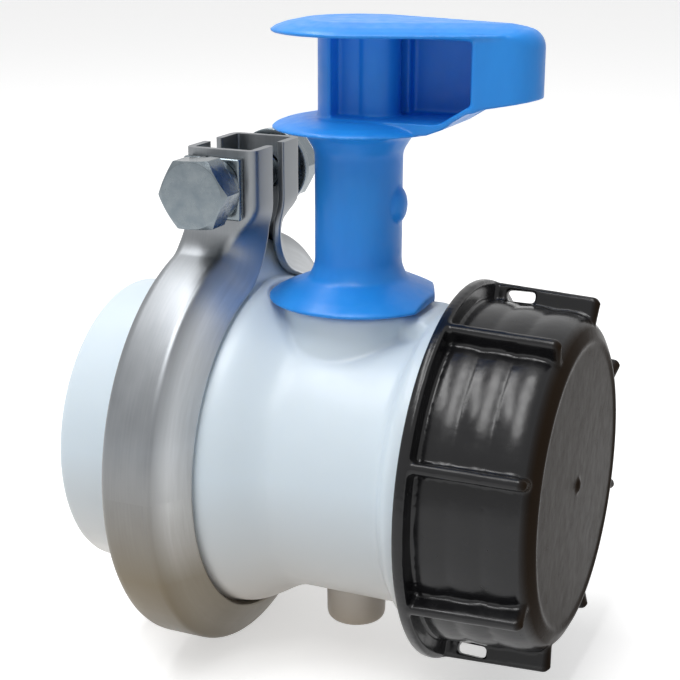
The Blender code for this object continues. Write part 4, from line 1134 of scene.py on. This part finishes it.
def make_world():
    """White surroundings that light the part less than they show."""
    lit = 0.36
    seen = 0.95
    world = bpy.data.worlds.new("studio")
    world.use_nodes = True
    tree = world.node_tree
    sky = tree.nodes["Background"]
    sky.inputs["Color"].default_value = (1.0, 1.0, 1.0, 1.0)
    tree.links.new(seen_directly(tree, lit, seen), sky.inputs["Strength"])
    bpy.context.scene.world = world


def make_lamp(name, place, power, wide, high):
    """Rectangular lamp at a place seen from the valve's middle, in metres, turned towards it."""
    light = bpy.data.lights.new(name, "AREA")
    light.energy = power
    light.shape = "RECTANGLE"
    light.size = wide
    light.size_y = high
    lamp = bpy.data.objects.new(name, light)
    target = Vector((STEM_X * MM, 0.0, 15.0 * MM))
    lamp.location = target + place
    lamp.rotation_mode = "QUATERNION"
    lamp.rotation_quaternion = (-place).to_track_quat("-Z", "Y")
    bpy.context.scene.collection.objects.link(lamp)


# Camera, at the photograph's angle. It stands this far back from the stem axis, left and up.
CAMERA_BACK = 305.54
CAMERA_LEFT = 5.56
CAMERA_UP = 20.51
LENS = 79.34
SHIFT = 0.0147
AZIMUTH = math.radians(24.21)
ELEVATION = math.radians(16.99)
BACK = Vector((math.sin(AZIMUTH) * math.cos(ELEVATION), -math.cos(AZIMUTH) * math.cos(ELEVATION),
               math.sin(ELEVATION)))
RIGHT = Vector((math.cos(AZIMUTH), math.sin(AZIMUTH), 0.0))
UP = BACK.cross(RIGHT)


def make_camera():
    data = bpy.data.cameras.new("photo_view")
    data.sensor_width = 36.0
    data.lens = LENS
    data.shift_x = SHIFT
    data.shift_y = SHIFT
    data.clip_start = 10.0 * MM
    camera = bpy.data.objects.new("photo_view", data)
    camera.location = (STEM_AT + (BACK * CAMERA_BACK - RIGHT * CAMERA_LEFT + UP * CAMERA_UP)) * MM
    camera.rotation_mode = "QUATERNION"
    camera.rotation_quaternion = (-BACK).to_track_quat("-Z", "Y")
    bpy.context.scene.collection.objects.link(camera)
    bpy.context.scene.camera = camera


def keep_cad_nodes(material):
    """The seals that stay hidden keep their solids, with the rubber material."""
    for name in ("flange_gasket", "stem_oring_lower", "stem_oring_upper", "cap_gasket"):
        set_material(name, material)


def set_material(name, material):
    node = frame["nodes"][name]
    node.data.materials.clear()
    node.data.materials.append(material)


make_camera()
make_world()
make_floor()
make_lamp("skylight", Vector((-0.30, -0.08, 0.72)), power=3.4, wide=0.80, high=0.14)
make_lamp("key", BACK * 0.45 - RIGHT * 0.10 + UP * 0.58, power=2.6, wide=0.15, high=0.60)

WHITE = white_plastic()
BLUE = blue_plastic()
BLACK = black_plastic()
STRIP = strip_steel()
ZINC = zinc_steel()
STEEL = turned_steel()
RUBBER = seal_rubber()

make_spigot(WHITE)
make_body(WHITE)
make_outlet_thread(WHITE)
make_disc(WHITE)
make_liner(RUBBER)
make_handle(BLUE)
make_pin(STEEL)
make_disc_screw("disc_screw_top", SCREW_Z, STEEL, "disc_screw_upper")
make_disc_screw("disc_screw_foot", -SCREW_Z, STEEL, "disc_screw_lower")
make_band(STRIP)
make_bolt(ZINC)
make_nut(ZINC)
make_square_plate("head_plate", -1, ZINC, "bolt_plate")
make_square_plate("rear_plate", 1, ZINC, "nut_plate")
make_washers(ZINC)
make_cap(BLACK)
make_cap_thread(BLACK)
keep_cad_nodes(RUBBER)
set_material("stem", STEEL)

bpy.context.scene.view_settings.view_transform = "Standard"
